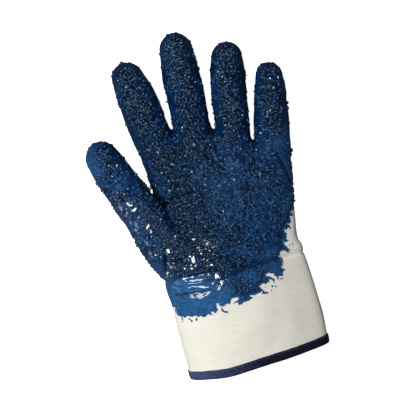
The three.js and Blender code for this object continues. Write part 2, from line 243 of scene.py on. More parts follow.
# How rough the rubber is from place to place on the palm's side: x, y, reach in mm and amount. Elsewhere
# it has the amount of PLAIN_ROUGHNESS, the grip side of the digits that of DIGIT_ROUGHNESS, and their
# other sides that of SIDE_ROUGHNESS.
ROUGH_SPOTS = (
    (-24, 78, 22, 1.0), (-8, 96, 14, 0.75), (-30, 52, 10, 0.9), (-20, 26, 16, 0.95), (-34, 20, 14, 0.9),
    (8, 60, 18, 0.6), (34, 66, 16, 0.55), (10, 36, 16, 0.7), (36, 40, 14, 0.6), (10, 5, 14, 0.75),
    (36, 10, 10, 0.5), (-6, 14, 10, 0.75), (-66, 62, 9, 0.6), (-56, 40, 10, 0.7), (-72, 34, 12, 0.45),
    (-50, 22, 8, 0.7), (-30, -2, 12, 0.8), (-8, -4, 10, 0.9), (10, -14, 12, 0.75), (26, -14, 10, 0.5),
    (-2, -20, 8, 0.6), (-36, -13, 9, 0.6), (-34, -25, 12, 0.08), (-48, -20, 8, 0.1), (-62, 4, 8, 0.25),
    (60, 66, 7, 0.12), (62, 90, 7, 0.25), (54, 50, 6, 0.3), (18, 104, 9, 0.3), (2, 30, 8, 0.35),
    (26, 26, 10, 0.35), (-56, 90, 8, 0.35), (-44, 62, 6, 0.5), (-88, 84, 8, 0.3), (-94, 104, 7, 0.35),
)
PLAIN_ROUGHNESS = 0.3
DIGIT_ROUGHNESS = 0.95
SIDE_ROUGHNESS = 0.1
DIGIT_GRIP = (-0.06, 0.0, 1.0)  # the way that the roughest side of a finger faces
GRIP_TURNS = (0.7, 0.95)  # how nearly a face looks that way where the grip begins, and where it is full
FINGERS_START = (84.0, 112.0)  # between these heights the digits' roughness takes over
ROUGH_PATCHES = ((0.35, 0, 7.0), (0.15, 60, 3.5))  # how much, a shift of the noise, and how wide
SEEN_FLOOR = (1.0, 4.0)  # crumbs begin above the first height and are all there above the second

# Where the dip makes a finger fuller on its right side: x, y, reach and how much, in mm
FULLER_SPOTS = ((-35, 148, 15, 1.7), (7, 150, 20, 1.3))

# Where the dip soaked in thinly and the cloth shows through: x, y, reach and amount
THIN_SPOTS = (
    (-34, -26, 13, 1.0), (-48, -16, 9, 0.95), (-16, -26, 9, 0.75), (-4, -24, 7, 0.5), (12, -20, 8, 0.45),
    (30, -10, 9, 0.5), (-24, -18, 7, 0.4), (62, 62, 7, 0.5), (63, 86, 7, 0.4), (-66, -2, 9, 0.7),
    (52, 36, 6, 0.3), (-76, 38, 8, 0.4), (-94, 94, 8, 0.45), (-98, 106, 8, 0.4), (-64, 84, 8, 0.2),
    (-4, 60, 9, 0.3),
)
PLAIN_THINNESS = 0.12
THIN_PATCHES = (0.25, 11.0)  # how much and how wide

NARROW_FOLD = 2.7  # folds narrower than this get a painted shade along them, as creases

# Where the dip lies wet and crumpled: x, y, reach and amount
WET_SPOTS = (
    (-74, 58, 10, 0.8), (-62, 46, 9, 0.8), (-52, 34, 9, 0.7), (-50, 20, 9, 0.9), (-34, 12, 12, 1.0),
    (-22, 4, 10, 1.0), (-44, 2, 10, 1.0), (-28, -6, 10, 1.0), (-32, -12, 7, 0.9), (-12, -12, 8, 0.8),
    (0, -12, 8, 0.5),
)
PLAIN_WETNESS = 0.05
PLACE_WEIGHT = 2.5  # how much a spot counts against the plain amount round it
PLAIN_WEIGHT = 0.35
SEAM_CREASE_SHADE = (0.9, 0.9, -30.0, -18.0)  # how dark and wide the painted shade in the seam's crease is, and where it begins
# A band by the seam with few crumbs: how free of them, its place and width, and from where to where it begins
CALM_SEAM = (0.9, 1.0, 2.2, -20.0, -5.0)

# The cloth's length round a section of the cuff, for the weave that follows it
PERIMETER = 280.0
RING_POWER = 2.3
RING_DEPTH = 0.42  # the section's depth for its width

# The dip: how thick it is where it ends, where it soaked in, and where it is full
EDGE_FILM = 0.14
THIN_FILM = 0.45
UNDER_FILM = 0.15  # the rubber starts this far inside the cloth's face
FULL_DEPTH = 6.0  # how far inside its edge it is full

# The cloth's edges at the seam: the liner rolls in a little, and the cuff goes on inside it
SEAM_ROLL = 0.5
SEAM_STEP = 0.5  # how near the seam the cuff steps in
ALLOWANCE = 8.0
LINER_START = 0.15  # how far past the seam the jersey begins
ROLL_WIDTH = 1.1
TUCK_GAP = 0.2  # between the liner and the allowance inside it
THIN_CUFF = (-4.0, 0.25)  # the canvas thins from here to the seam, by this share
HEM_START = 0.3  # how far above the hem's line the canvas ends, inside the tape

# The tape's section: how far above the hem, and how far out of the canvas's outer face
TAPE_SECTION = (
    (6, 0.05), (6.05, 0.6), (5.8, 0.95), (5, 0.85), (4.2, 1.05), (2.8, 1.15), (1.2, 1.15), (0.1, 1.05),
    (-0.7, 0.6), (-1.2, -0.1), (-1.35, -0.8), (-1.2, -1.5), (-0.7, -2.2), (0.1, -2.65), (1.2, -2.75),
    (2.8, -2.75), (4.4, -2.7), (5.8, -2.6), (6, -2.2), (6, -1.65), (5, -0.8),
)
TAPE_SIDES = 420  # points round the cuff in each ring of the tape
TAPE_RIPPLE = (0.12, 3.0)  # how much the tape's edges wander, and over what length
TAPE_REST = 0.02  # the tape's least height above the floor
STITCH_LINE = (4.9, 0.9)  # how far above the hem, and how far out
STITCH_PITCH = 1.25  # from one stitch to the next, for its length

# The crumbs' groups in the order of their numbers, and how uneven one crumb is
CRUMB_GROUPS = (
    "crumbs_thumb", "crumbs_index_and_middle", "crumbs_ring_and_little", "crumbs_palm", "crumbs_back",
)
FIRST_CRUMB_SEED = 3
CRUMB_TILT = 0.4  # how far a crumb leans, in radians
CRUMB_LEAST = (0.7, 0.45, 0.0)  # across, along, and what its height grows from
CRUMB_MOST = (1.9, 1.15, 1.0)
CRUMB_WOBBLE = 900.0  # the scale of the noise that dents it
SMOOTH_SHARE = 0.8  # how many of a crumb's faces are shaded smooth

# The shine of the plain rubber, with its wet coat, and that of the crumbs
RUBBER_SHEEN = {
    "Coat Roughness": 0.1,
    "Coat IOR": 1.8,
    "Specular IOR Level": 0.14,
    "Specular Tint": (0.62, 0.85, 1.0, 1.0),
}
CRUMB_SHEEN = {"IOR": 1.6, "Specular IOR Level": 0.75, "Specular Tint": (0.4, 0.72, 1.0, 1.0)}

# The camera looks straight down, turned as the photograph is
CAMERA_AT = (0.0026, -0.0051, 0.824)
CAMERA_TURN = -12.0
CAMERA_LENS = 86.5
SENSOR = 36.0
FLOOR_SIZE = 6.0
FLOOR_Z = -0.0003  # just under the glove
FLOOR_GLOW = 1.0  # a lit floor, as a light table gives, that takes the shadows out
FLOOR_BOUNCE = (0.1, 0.11)  # how little of its colour it gives back to the glove

# Each light's name, place, width, height and power, all aimed at one point
LIGHT_AIM = (0.0, 0.0, 0.02)
LIGHTS = (
    ("key_light", (-0.43, 0.16, 1.0), 0.5, 0.5, 16.2),
    ("side_light", (-1.0, -0.1, 0.30), 0.9, 0.3, 3.4),
    ("fill_light", (0.8, -0.1, 0.70), 1.2, 1.2, 1.4),
)
WORLD_LEVEL = 0.06  # how bright the world is to all but the camera, which sees it white


def smoothstep(low, high, value):
    """0 below low and 1 above high, with a smooth change between them."""
    t = np.clip((value - low) / (high - low), 0.0, 1.0)
    return t * t * (3.0 - 2.0 * t)


def bell(distance, width):
    """1 where the distance is zero, falling smoothly to nothing on both sides."""
    return np.exp(-((distance / width) ** 2))


def unit(vectors):
    """The vectors with a length of 1."""
    return vectors / np.linalg.norm(vectors, axis=1)[:, None]


def blended(cell, t, value_at):
    """The values at the eight corners of each point's cell, blended by its place in the cell."""
    total = 0.0
    for corner in np.ndindex(2, 2, 2):
        share = np.prod(np.where(corner, t, 1 - t), axis=-1)
        total = total + share * value_at(cell + corner)
    return total


def interpolated(index, table):
    """Each column of a table by name, between its rows."""
    rows = np.arange(len(next(iter(table.values()))))
    return {name: np.interp(index, rows, values) for name, values in table.items()}


def fine_rows(rows, count):
    """Rows drawn finely, on curves that never swing past the values of the rows."""
    rows = np.array(rows, float)
    key = rows[:, 0]
    steps = np.diff(key)
    slopes = np.diff(rows, axis=0) / steps[:, None]
    same_way = slopes[:-1] * slopes[1:] > 0
    total = np.where(same_way, slopes[:-1] + slopes[1:], 1.0)
    inner = np.where(same_way, 2 * slopes[:-1] * slopes[1:] / total, 0.0)
    tangents = np.vstack([slopes[:1], inner, slopes[-1:]])
    at = np.linspace(key[0], key[-1], count)
    i = np.clip(np.searchsorted(key, at) - 1, 0, len(steps) - 1)
    h = steps[i][:, None]
    t = ((at - key[i]) / steps[i])[:, None]
    fine = (
        (2 * t**3 - 3 * t**2 + 1) * rows[i]
        + (t**3 - 2 * t**2 + t) * h * tangents[i]
        + (3 * t**2 - 2 * t**3) * rows[i + 1]
        + (t**3 - t**2) * h * tangents[i + 1]
    )
    fine[:, 0] = at
    return fine


class Noise:
    """Smooth noise from -1 to 1, the same each run: random values on a lattice, blended between."""

    SIDE = 48

    def __init__(self, seed):
        self.lattice = np.random.default_rng(seed).uniform(-1, 1, (self.SIDE,) * 3)

    def __call__(self, points, size):
        p = np.asarray(points, float) / size + 100.0
        low = np.floor(p).astype(int)
        t = p - low
        t = t * t * (3 - 2 * t)
        return blended(low, t, lambda cell: self.lattice[tuple(np.moveaxis(cell % self.SIDE, -1, 0))])


RAG_NOISE = Noise(11)
SPECK_NOISE = Noise(23)
LUMP_NOISE = Noise(5)
PATCH_NOISE = Noise(31)


class Form:
    """The cloth's outer face as the zero of a distance held on a grid, negative inside."""

    def __init__(self, low, high, step):
        self.low = np.array(low, float)
        self.step = step
        self.shape = tuple(int(math.ceil((h - l) / step)) + 1 for l, h in zip(low, high))
        self.x, self.y, self.z = (self.low[k] + step * np.arange(self.shape[k]) for k in range(3))
        self.distance = np.full(self.shape, 1e3, np.float32)

    def join(self, other, blend, where=(slice(None),) * 3):
        """Joins another distance to this one, with a fillet about as wide as blend."""
        mine = self.distance[where]
        near = np.maximum(blend - np.abs(mine - other), 0.0)
        self.distance[where] = np.minimum(mine, other) - near * near / (4 * blend)

    def sample(self, points):
        p = (points - self.low) / self.step
        low = np.clip(np.floor(p).astype(int), 0, np.array(self.shape) - 2)
        return blended(low, p - low, lambda cell: self.distance[tuple(cell.T)])

    def slope(self, points):
        sides = [self.sample(points + e) - self.sample(points - e) for e in np.eye(3) * self.step * 0.75]
        return np.stack(sides, axis=-1) / (1.5 * self.step)


def hand_distance(form):
    """The palm and cuff, as sections from the table that are slanted and bowed."""
    fine = fine_rows(SECTIONS, 500)
    column = dict(zip(SECTION_COLUMNS, fine.T))
    x = form.x[:, None]
    level = np.empty((len(form.x), len(form.y)))
    past = np.empty_like(level)
    for i, across in enumerate(form.x):
        height = column["y"] + column["slant"] * across - column["bow"] * across**2
        level[i] = np.interp(form.y, height, np.arange(len(fine)))
        past[i] = form.y - height[-1]
    at = interpolated(level, column)
    half_x = (at["right"] - at["left"]) / 2
    u = (x - (at["left"] + at["right"]) / 2) / half_x
    inner = np.maximum(1 - u * u, 0.0)
    half_z = (at["top"] - at["bottom"]) / 2 * (1 - at["swell"] * np.clip(u, -1, 1))
    middle_z = (at["top"] + at["bottom"]) / 2
    z = form.z[None, None, :] - middle_z[..., None]
    reach = half_z[..., None] - np.where(z > 0, (at["dish"] * inner)[..., None], 0.0)
    power = at["power"][..., None]
    size = (np.abs(u)[..., None] ** power + np.abs(z / reach) ** power) ** (1 / power)
    radius = np.hypot((u * half_x)[..., None], z)
    across = radius * (1 - 1 / np.maximum(size, 1e-3))
    return np.maximum(across, past[..., None])


def digit_distance(form, stations, margin=16.0):
    """One digit: rings along a curve, closed by a round tip. Gives the grid cells it fills too."""
    rows = np.array(stations, float)
    chord = np.concatenate([[0.0], np.cumsum(np.linalg.norm(np.diff(rows[:, :3], axis=0), axis=1))])
    fine = fine_rows(np.column_stack([chord, rows]), 40)[:, 1:]
    path, width, depth = fine[:, :3], fine[:, 3], fine[:, 4]
    along = np.concatenate([[0.0], np.cumsum(np.linalg.norm(np.diff(path, axis=0), axis=1))])
    cap = width[-1]
    reach = margin + width.max()
    where = tuple(
        slice(
            max(int((path[:, k].min() - reach - form.low[k]) / form.step), 0),
            int((path[:, k].max() + reach - form.low[k]) / form.step) + 1,
        )
        for k in range(3)
    )
    grid = np.stack(np.meshgrid(form.x[where[0]], form.y[where[1]], form.z[where[2]], indexing="ij"), axis=-1)
    points = grid.reshape(-1, 3)
    nearest = np.full(len(points), np.inf)
    place = np.zeros(len(points))
    for i in range(len(path) - 1):
        leg = path[i + 1] - path[i]
        t = np.clip((points - path[i]) @ leg / (leg @ leg), 0, 1)
        gap = ((points - path[i] - t[:, None] * leg) ** 2).sum(axis=1)
        closer = gap < nearest
        nearest[closer] = gap[closer]
        place[closer] = (i + t)[closer]
    index = np.arange(len(path))
    tangents = np.gradient(path, axis=0)
    at = lambda values: np.stack([np.interp(place, index, v) for v in np.atleast_2d(values.T)], axis=-1)
    forward = unit(at(tangents))
    side = unit(np.cross(forward, (0, 0, 1.0)))
    up = np.cross(side, forward)
    offset = points - at(path)
    ahead = (offset * forward).sum(axis=1)
    across = (offset * side).sum(axis=1)
    over = (offset * up).sum(axis=1)
    w, d = at(width)[:, 0], at(depth)[:, 0]
    ring = (np.abs(across / w) ** DIGIT_POWER + np.abs(over / d) ** DIGIT_POWER) ** (1 / DIGIT_POWER)
    travelled = np.interp(place, index, along) + np.where(place > index[-1] - 1e-6, ahead, 0.0)
    tip = np.maximum(travelled - (along[-1] - cap), 0.0)
    root = np.where(place < 1e-6, np.maximum(-ahead, 0.0), 0.0)
    end = (tip + root) / cap
    size = np.maximum(np.hypot(ring, end), 1e-3)
    radius = np.sqrt(across**2 + over**2 + tip**2 + root**2)
    return (radius * (1 - 1 / size)).reshape(grid.shape[:3]), where


def surface_net(form, stride):
    """Points and four-sided faces on the zero of the form, one point for each cell that it crosses."""
    values = form.distance[::stride, ::stride, ::stride]
    step = form.step * stride
    inside = values < 0
    cells_shape = tuple(n - 1 for n in values.shape)
    corners = list(np.ndindex(2, 2, 2))
    window = lambda a, c: a[tuple(slice(c[k], c[k] + cells_shape[k]) for k in range(3))]
    count = sum(window(inside, c).astype(np.int8) for c in corners)
    cells = np.argwhere((count > 0) & (count < 8))
    number = np.full(cells_shape, -1, np.int32)
    number[tuple(cells.T)] = np.arange(len(cells))
    total = np.zeros((len(cells), 3))
    hits = np.zeros(len(cells))
    for axis in range(3):
        for c in corners:
            if c[axis]:
                continue
            a = values[tuple((cells + c).T)]
            b = values[tuple((cells + c + np.eye(3, dtype=int)[axis]).T)]
            cross = (a < 0) != (b < 0)
            t = np.where(cross, a / np.where(cross, a - b, 1.0), 0.0)
            point = np.tile(np.array(c, float), (len(cells), 1))
            point[:, axis] = t
            total += np.where(cross[:, None], point, 0.0)
            hits += cross
    points = form.low + step * (cells + total / hits[:, None])
    faces = []
    for axis in range(3):
        b, c = (axis + 1) % 3, (axis + 2) % 3
        first = np.moveaxis(inside, axis, 0)[:-1]
        second = np.moveaxis(inside, axis, 0)[1:]
        edges = np.argwhere(np.moveaxis(first != second, 0, axis))
        fits = (edges[:, b] >= 1) & (edges[:, c] >= 1)
        fits &= (edges[:, b] <= values.shape[b] - 2) & (edges[:, c] <= values.shape[c] - 2)
        edges = edges[fits]
        quad = []
        for db, dc in ((-1, -1), (0, -1), (0, 0), (-1, 0)):
            cell = edges.copy()
            cell[:, b] += db
            cell[:, c] += dc
            quad.append(number[tuple(cell.T)])
        quad = np.stack(quad, axis=1)
        outward = inside[tuple(edges.T)]
        quad[~outward] = quad[~outward][:, ::-1]
        faces.append(quad)
    return points, np.concatenate(faces)


def settled(form, points, rounds=2):
    """Moves points straight onto the form's face."""
    for _ in range(rounds):
        slope = form.slope(points)
        steep = np.maximum((slope**2).sum(axis=1), 0.05)
        move = (form.sample(points) / steep)[:, None] * slope
        points = points - np.clip(move, -form.step, form.step)
    return points


def relaxed(form, points, faces, rounds=4):
    """Evens out the net's faces, and puts each point back on the form."""
    edges = np.concatenate([faces[:, [k, (k + 1) % 4]] for k in range(4)])
    start, end = np.concatenate([edges, edges[:, ::-1]]).T
    weight = np.bincount(start, minlength=len(points))
    for _ in range(rounds):
        sums = [np.bincount(start, points[end, k], minlength=len(points)) for k in range(3)]
        points = 0.5 * points + 0.5 * np.stack(sums, axis=1) / weight[:, None]
        points = settled(form, points, 1)
    return points


def distance_to(line, at):
    """How far points are from a line through given points, seen from above."""
    line = np.array(line, float)
    nearest = np.full(len(at), np.inf)
    for a, b in zip(line[:-1], line[1:]):
        leg = b - a
        t = np.clip((at - a) @ leg / (leg @ leg), 0, 1)
        nearest = np.minimum(nearest, np.hypot(*(at - a - t[:, None] * leg).T))
    return nearest


def above_line(line, at):
    """Which points lie on the fingers' side of a line that runs from left to right."""
    closed = np.array(line + ((110.0, ABOVE_ALL), (-110.0, ABOVE_ALL), line[0]), float)
    x, y = at.T
    inside = np.zeros(len(at), bool)
    for (ax, ay), (bx, by) in zip(closed[:-1], closed[1:]):
        if ay != by:
            crosses = (ay > y) != (by > y)
            inside ^= crosses & (x < ax + (y - ay) * (bx - ax) / (by - ay))
    return inside


def dip_depth(points):
    """How far inside the dip's ragged edge each point is, in mm, negative where the cloth is bare."""
    depth = np.full(len(points), DEEP_INSIDE)
    low = points[:, 1] < EDGE_TOP
    at = points[low, :2]
    palm, back = (
        np.where(above_line(line, at), 1.0, -1.0) * distance_to(line, at) for line in (PALM_EDGE, BACK_EDGE)
    )
    for x, y, radius in EDGE_DROPS:
        palm = np.maximum(palm, radius - np.hypot(at[:, 0] - x, at[:, 1] - y))
    share = smoothstep(*EDGE_TURNS, points[low, 2])
    depth[low] = back + (palm - back) * share
    return depth


def ragged(points, depth):
    """The dip's depth with its fine rags, and specks of rubber just past the edge."""
    rags = sum(height * RAG_NOISE(points + shift, size) for height, shift, size in RAGS)
    edge = depth + rags * bell(depth, RAG_REACH)
    height, size, less, ending = SPECKS
    speck = height * (SPECK_NOISE(points, size) - less) - ending * np.maximum(-depth - 1.0, 0.0)
    return np.maximum(edge, np.where(depth > -SPECK_REACH, speck, -5.0))


def press_folds(form):
    """Moves the form's face near each fold, and leaves it gently uneven, as soft cloth lies."""
    near = np.argwhere(np.abs(form.distance) < FACE_REACH)
    points = form.low + near * form.step
    at, z = points[:, :2], points[:, 2]
    palm = smoothstep(*FOLD_HEIGHTS, z)
    rise = np.zeros(len(points))
    top = smoothstep(*TOP_HEIGHTS, z)
    for folds, share in ((PALM_FOLDS, palm), (BACK_FOLDS, 1.0 - palm), (TOP_FOLDS, top)):
        for height, width, line in folds:
            rise += share * height * bell(distance_to(line, at), width)
    height, width = SEAM_GROOVE
    start, end, fade = FAINT_SEAM
    side = 1.0 - fade * smoothstep(start, end, points[:, 0])
    rise += side * height * bell(past_seam(points), width)
    start, end, least = CUFF_CALM
    hand = smoothstep(start, end, points[:, 1])
    for height, size in LUMPS:
        rise += height * (least + (1 - least) * hand) * LUMP_NOISE(points, size)
    form.distance[tuple(near.T)] -= rise.astype(np.float32)


def seam_y(x):
    """How high up the glove the seam runs at each x."""
    return np.interp(x, *np.array(SEAM, float).T)


def past_seam(points):
    """How far each point lies past the seam, on the fingers' side of it."""
    return points[:, 1] - seam_y(points[:, 0])


def hem_y(x):
    """How high up the glove the hem runs at each x."""
    depth, middle, width = HEM_DROOP
    return HEM_ROW["y"] + HEM_ROW["slant"] * x - HEM_ROW["bow"] * x * x - depth * bell(x - middle, width)


@functools.cache
def glove_form():
    """The cloth's outer face of the whole glove."""
    step = GRID_STEP
    form = Form(GRID_LOW, GRID_HIGH, step)
    form.distance[...] = hand_distance(form)
    fingers = Form(GRID_LOW, GRID_HIGH, step)
    for name in FINGERS:
        finger, where = digit_distance(fingers, DIGITS[name])
        fingers.join(finger, FINGER_FILLET, where)
    form.join(fingers.distance, WEB_FILLET)
    thumb, where = digit_distance(form, DIGITS["thumb"])
    form.join(thumb, THUMB_FILLET, where)
    press_folds(form)
    under = (CLOTH_REST - form.z).astype(np.float32)
    near = np.maximum(FLOOR_FILLET - np.abs(form.distance - under), 0.0)
    form.distance = np.maximum(form.distance, under) + near * near / (4 * FLOOR_FILLET)
    return form


def triangles(quads, points):
    """Each four-sided face as two triangles, cut along its shorter diagonal."""
    across = np.linalg.norm(points[quads[:, 0]] - points[quads[:, 2]], axis=1)
    other = np.linalg.norm(points[quads[:, 1]] - points[quads[:, 3]], axis=1)
    quads = np.where((across <= other)[:, None], quads, np.roll(quads, -1, axis=1))
    return np.concatenate([quads[:, [0, 1, 2]], quads[:, [0, 2, 3]]])


def refined(points, faces, chosen):
    """Cuts the chosen triangles in four, and their neighbours to match."""
    edges = np.sort(faces[:, [[0, 1], [1, 2], [2, 0]]].reshape(-1, 2), axis=1)
    known, which = np.unique(edges, axis=0, return_inverse=True)
    which = which.reshape(-1, 3)
    split = np.zeros(len(known), bool)
    split[which[chosen].ravel()] = True
    number = np.full(len(known), -1)
    number[split] = len(points) + np.arange(split.sum())
    points = np.concatenate([points, points[known[split]].mean(axis=1)])
    middle = number[which]
    cut = middle >= 0
    count = cut.sum(axis=1)
    made = [faces[count == 0]]
    f, m = faces[count == 3].T, middle[count == 3].T
    made += [np.stack(t, axis=1) for t in ((f[0], m[0], m[2]), (m[0], f[1], m[1]), (m[2], m[1], f[2]), m)]
    for k in range(3):
        one = (count == 1) & cut[:, k]
        f, m = np.roll(faces[one], -k, axis=1).T, middle[one, k]
        made += [np.stack(t, axis=1) for t in ((f[0], m, f[2]), (m, f[1], f[2]))]
        two = (count == 2) & ~cut[:, k]
        f, m = np.roll(faces[two], -k - 1, axis=1).T, np.roll(middle[two], -k - 1, axis=1).T
        made += [np.stack(t, axis=1) for t in ((m[0], f[1], m[1]), (f[0], m[0], m[1]), (f[0], m[1], f[2]))]
    return points, np.concatenate(made)


def clipped(points, faces, field, least=0.03):
    """Keeps what lies where the field is above zero, cut cleanly along the line between points."""
    field = np.where(np.abs(field) < least, least, field)
    above = field > 0
    count = above[faces].sum(axis=1)
    mixed = faces[(count == 1) | (count == 2)]
    alone = above[mixed].sum(axis=1) == 1
    odd = np.where(alone, np.argmax(above[mixed], axis=1), np.argmin(above[mixed], axis=1))
    turned = np.take_along_axis(mixed, (odd[:, None] + np.arange(3)) % 3, axis=1)
    pairs = np.sort(turned[:, [[0, 1], [0, 2]]].reshape(-1, 2), axis=1)
    known, which = np.unique(pairs, axis=0, return_inverse=True)
    a, b = known.T
    t = (field[a] / (field[a] - field[b]))[:, None]
    points = np.concatenate([points, points[a] * (1 - t) + points[b] * t])
    first, second = len(field) + which.reshape(-1, 2).T
    t0, t1, t2 = turned.T
    kept = [
        faces[count == 3],
        np.stack([t0, first, second], axis=1)[alone],
        np.stack([first, t1, t2], axis=1)[~alone],
        np.stack([first, t2, second], axis=1)[~alone],
    ]
    return compact(points, np.concatenate(kept))


def compact(points, faces):
    """Leaves out the points that no face uses."""
    used, which = np.unique(faces, return_inverse=True)
    return points[used], which.reshape(faces.shape)


def shell(outer, inner, faces):
    """A closed wall between two skins with the same triangles: its points and its faces."""
    count = len(outer)
    edges = faces[:, [[0, 1], [1, 2], [2, 0]]].reshape(-1, 2)
    ways = edges[:, 0] * count + edges[:, 1]
    backs = edges[:, 1] * count + edges[:, 0]
    a, b = edges[~np.isin(ways, backs)].T
    rim = [np.stack([b, a, a + count], axis=1), np.stack([b, a + count, b + count], axis=1)]
    return np.concatenate([outer, inner]), np.concatenate([faces, faces[:, ::-1] + count, *rim])


def plain_skin(form, stride):
    """The form's face in even triangles, one net point for each cell of stride grid steps."""
    points, quads = surface_net(form, stride)
    points = relaxed(form, points, quads)
    return points, triangles(quads, points)


def finished_skin(form, points, faces):
    """A skin put onto the form's face once more, with its normals."""
    points = settled(form, points)
    return points, faces, unit(form.slope(points))


@functools.cache
def fine_skin():
    """The cloth's face in small triangles, smaller still along the dip's edge, with its normals."""
    form = glove_form()
    points, faces = plain_skin(form, 1)
    for reach, wettest in FINER_PARTS:
        depth = dip_depth(points)
        near = np.abs(depth) < np.where(points[:, 2] > EDGE_TURNS[0], reach, BACK_SHARE * reach)
        fine = near | (wetness_of(points, unit(form.slope(points))) > wettest)
        bare = depth[faces].max(axis=1) < -reach
        faces = faces[~bare]
        points, faces = refined(points, faces, fine[faces].any(axis=1))
        points, faces = compact(points, faces)
    return finished_skin(form, points, faces)


@functools.cache
def coarse_skin():
    """The same face in larger triangles, for the cloth, with finer ones along the seam."""
    form = glove_form()
    points, faces = plain_skin(form, 2)
    for reach in FINER_SEAM:
        near = np.abs(past_seam(points))[faces].min(axis=1) < reach
        points, faces = refined(points, faces, near)
    return finished_skin(form, points, faces)


def spread(spots, at, base):
    """A value that varies smoothly from place to place, seen from above, between listed spots."""
    total = np.full(len(at), PLAIN_WEIGHT * base)
    weight = np.full(len(at), PLAIN_WEIGHT)
    for x, y, reach, amount in spots:
        share = np.exp(-((at[:, 0] - x) ** 2 + (at[:, 1] - y) ** 2) / reach**2) * PLACE_WEIGHT
        total += share * amount
        weight += share
    return total / weight


def roughness_of(points, normals, depth):
    """How densely crumbs lie at each point, from 0 to 1."""
    palm = spread(ROUGH_SPOTS, points[:, :2], PLAIN_ROUGHNESS)
    above = smoothstep(-0.3, 0.4, normals[:, 2])
    digit = smoothstep(*FINGERS_START, points[:, 1] + 0.14 * np.abs(points[:, 0]))
    amount = palm * above + PLAIN_ROUGHNESS * 0.8 * (1 - above)
    facing = smoothstep(*GRIP_TURNS, normals @ DIGIT_GRIP)
    amount += (SIDE_ROUGHNESS + (DIGIT_ROUGHNESS - SIDE_ROUGHNESS) * facing - amount) * digit
    amount += sum(height * PATCH_NOISE(points + shift, size) for height, shift, size in ROUGH_PATCHES)
    return np.clip(amount, 0.0, 1.0) * smoothstep(0.8, 3.5, depth)


def wetness_of(points, normals):
    """How wet and crumpled the dip lies at each point, and nothing on the back."""
    wet = spread(WET_SPOTS, points[:, :2], PLAIN_WETNESS)
    return wet * smoothstep(0.3, 0.7, wet) * smoothstep(0.0, 0.4, normals[:, 2])


def crease_shade_of(points):
    """How deep each point lies in a narrow fold of the palm or in the seam, from 0 to 1: the mask of a painted shade
    in these creases.
    """
    at = points[:, :2]
    dark, seam_width, start, end = SEAM_CREASE_SHADE
    crease_shade = dark * bell(past_seam(points), seam_width) * smoothstep(start, end, at[:, 0])
    for height, width, line in PALM_FOLDS:
        if height < 0 and width < NARROW_FOLD:
            crease_shade = np.maximum(crease_shade, bell(distance_to(line, at), 0.6 * width))
    return crease_shade * smoothstep(*FOLD_HEIGHTS, points[:, 2])


def thinness_of(points, depth):
    """How much of the cloth shows through the rubber at each point, from 0 to 1."""
    thin = spread(THIN_SPOTS, points[:, :2], PLAIN_THINNESS) * smoothstep(8.0, 18.0, points[:, 2])
    height, size = THIN_PATCHES
    thin += height * PATCH_NOISE(points, size) * smoothstep(0.1, 0.4, thin)
    return np.clip(np.maximum(thin, 0.7 * smoothstep(4.0, 0.0, depth)), 0.0, 1.0)


def squarish_ring(angle, power):
    """A ring of size 1 at each angle: an ellipse where the power is 2, and squarer where it is more."""
    return [np.sign(f(angle)) * np.abs(f(angle)) ** (2 / power) for f in (np.cos, np.sin)]


@functools.cache
def arc_shares():
    """Angles round a section of the cuff, and the share of its length up to each of them."""
    ring = np.stack(squarish_ring(np.linspace(-math.pi, math.pi, 721), RING_POWER), axis=1)
    steps = np.linalg.norm(np.diff(ring * (1, RING_DEPTH), axis=0), axis=1)
    share = np.concatenate([[0.0], np.cumsum(steps)])
    return np.arctan2(ring[:, 1], ring[:, 0]), share / share[-1]


def around(points):
    """How far round the glove each point is, from 0 to 1, starting at its thumb side."""
    rows = np.array(SECTIONS, float)
    at = {name: np.interp(points[:, 1], rows[:, 0], rows[:, k]) for k, name in enumerate(SECTION_COLUMNS)}
    u = (points[:, 0] - (at["left"] + at["right"]) / 2) / (at["right"] - at["left"])
    v = (points[:, 2] - (at["bottom"] + at["top"]) / 2) / (at["top"] - at["bottom"])
    angles, shares = arc_shares()
    return np.interp(np.arctan2(v, u), angles[1:-1], shares[1:-1])


def add_object(name, data):
    made = bpy.data.objects.new(name, data)
    bpy.context.scene.collection.objects.link(made)
    return made


def in_frame(points):
    """Points of the glove's layout, in the frame's metres."""
    return ((points - (*FOOTPRINT_MIDDLE, 0.0)) * MM).tolist()


def add_mesh(name, points, faces, material, values=None):
    """An object from millimetres in the glove's layout, with its values as attributes and a cloth UV map."""
    mesh = bpy.data.meshes.new(name)
    mesh.from_pydata(in_frame(points), [], faces.tolist())
    for key, value in (values or {}).items():
        mesh.attributes.new(key, "FLOAT", "POINT").data.foreach_set("value", value.astype(np.float32))
    share = around(points)[faces]
    wraps = share.max(axis=1) - share.min(axis=1) > 0.5
    share = np.where(wraps[:, None] & (share < 0.5), share + 1.0, share)
    uv = np.stack([share * PERIMETER, points[faces][..., 1]], axis=-1) * MM
    mesh.uv_layers.new(name="UVMap").data.foreach_set("uv", uv.ravel().astype(np.float32))
    mesh.shade_smooth()
    mesh.materials.append(material)
    return add_object(name, mesh)


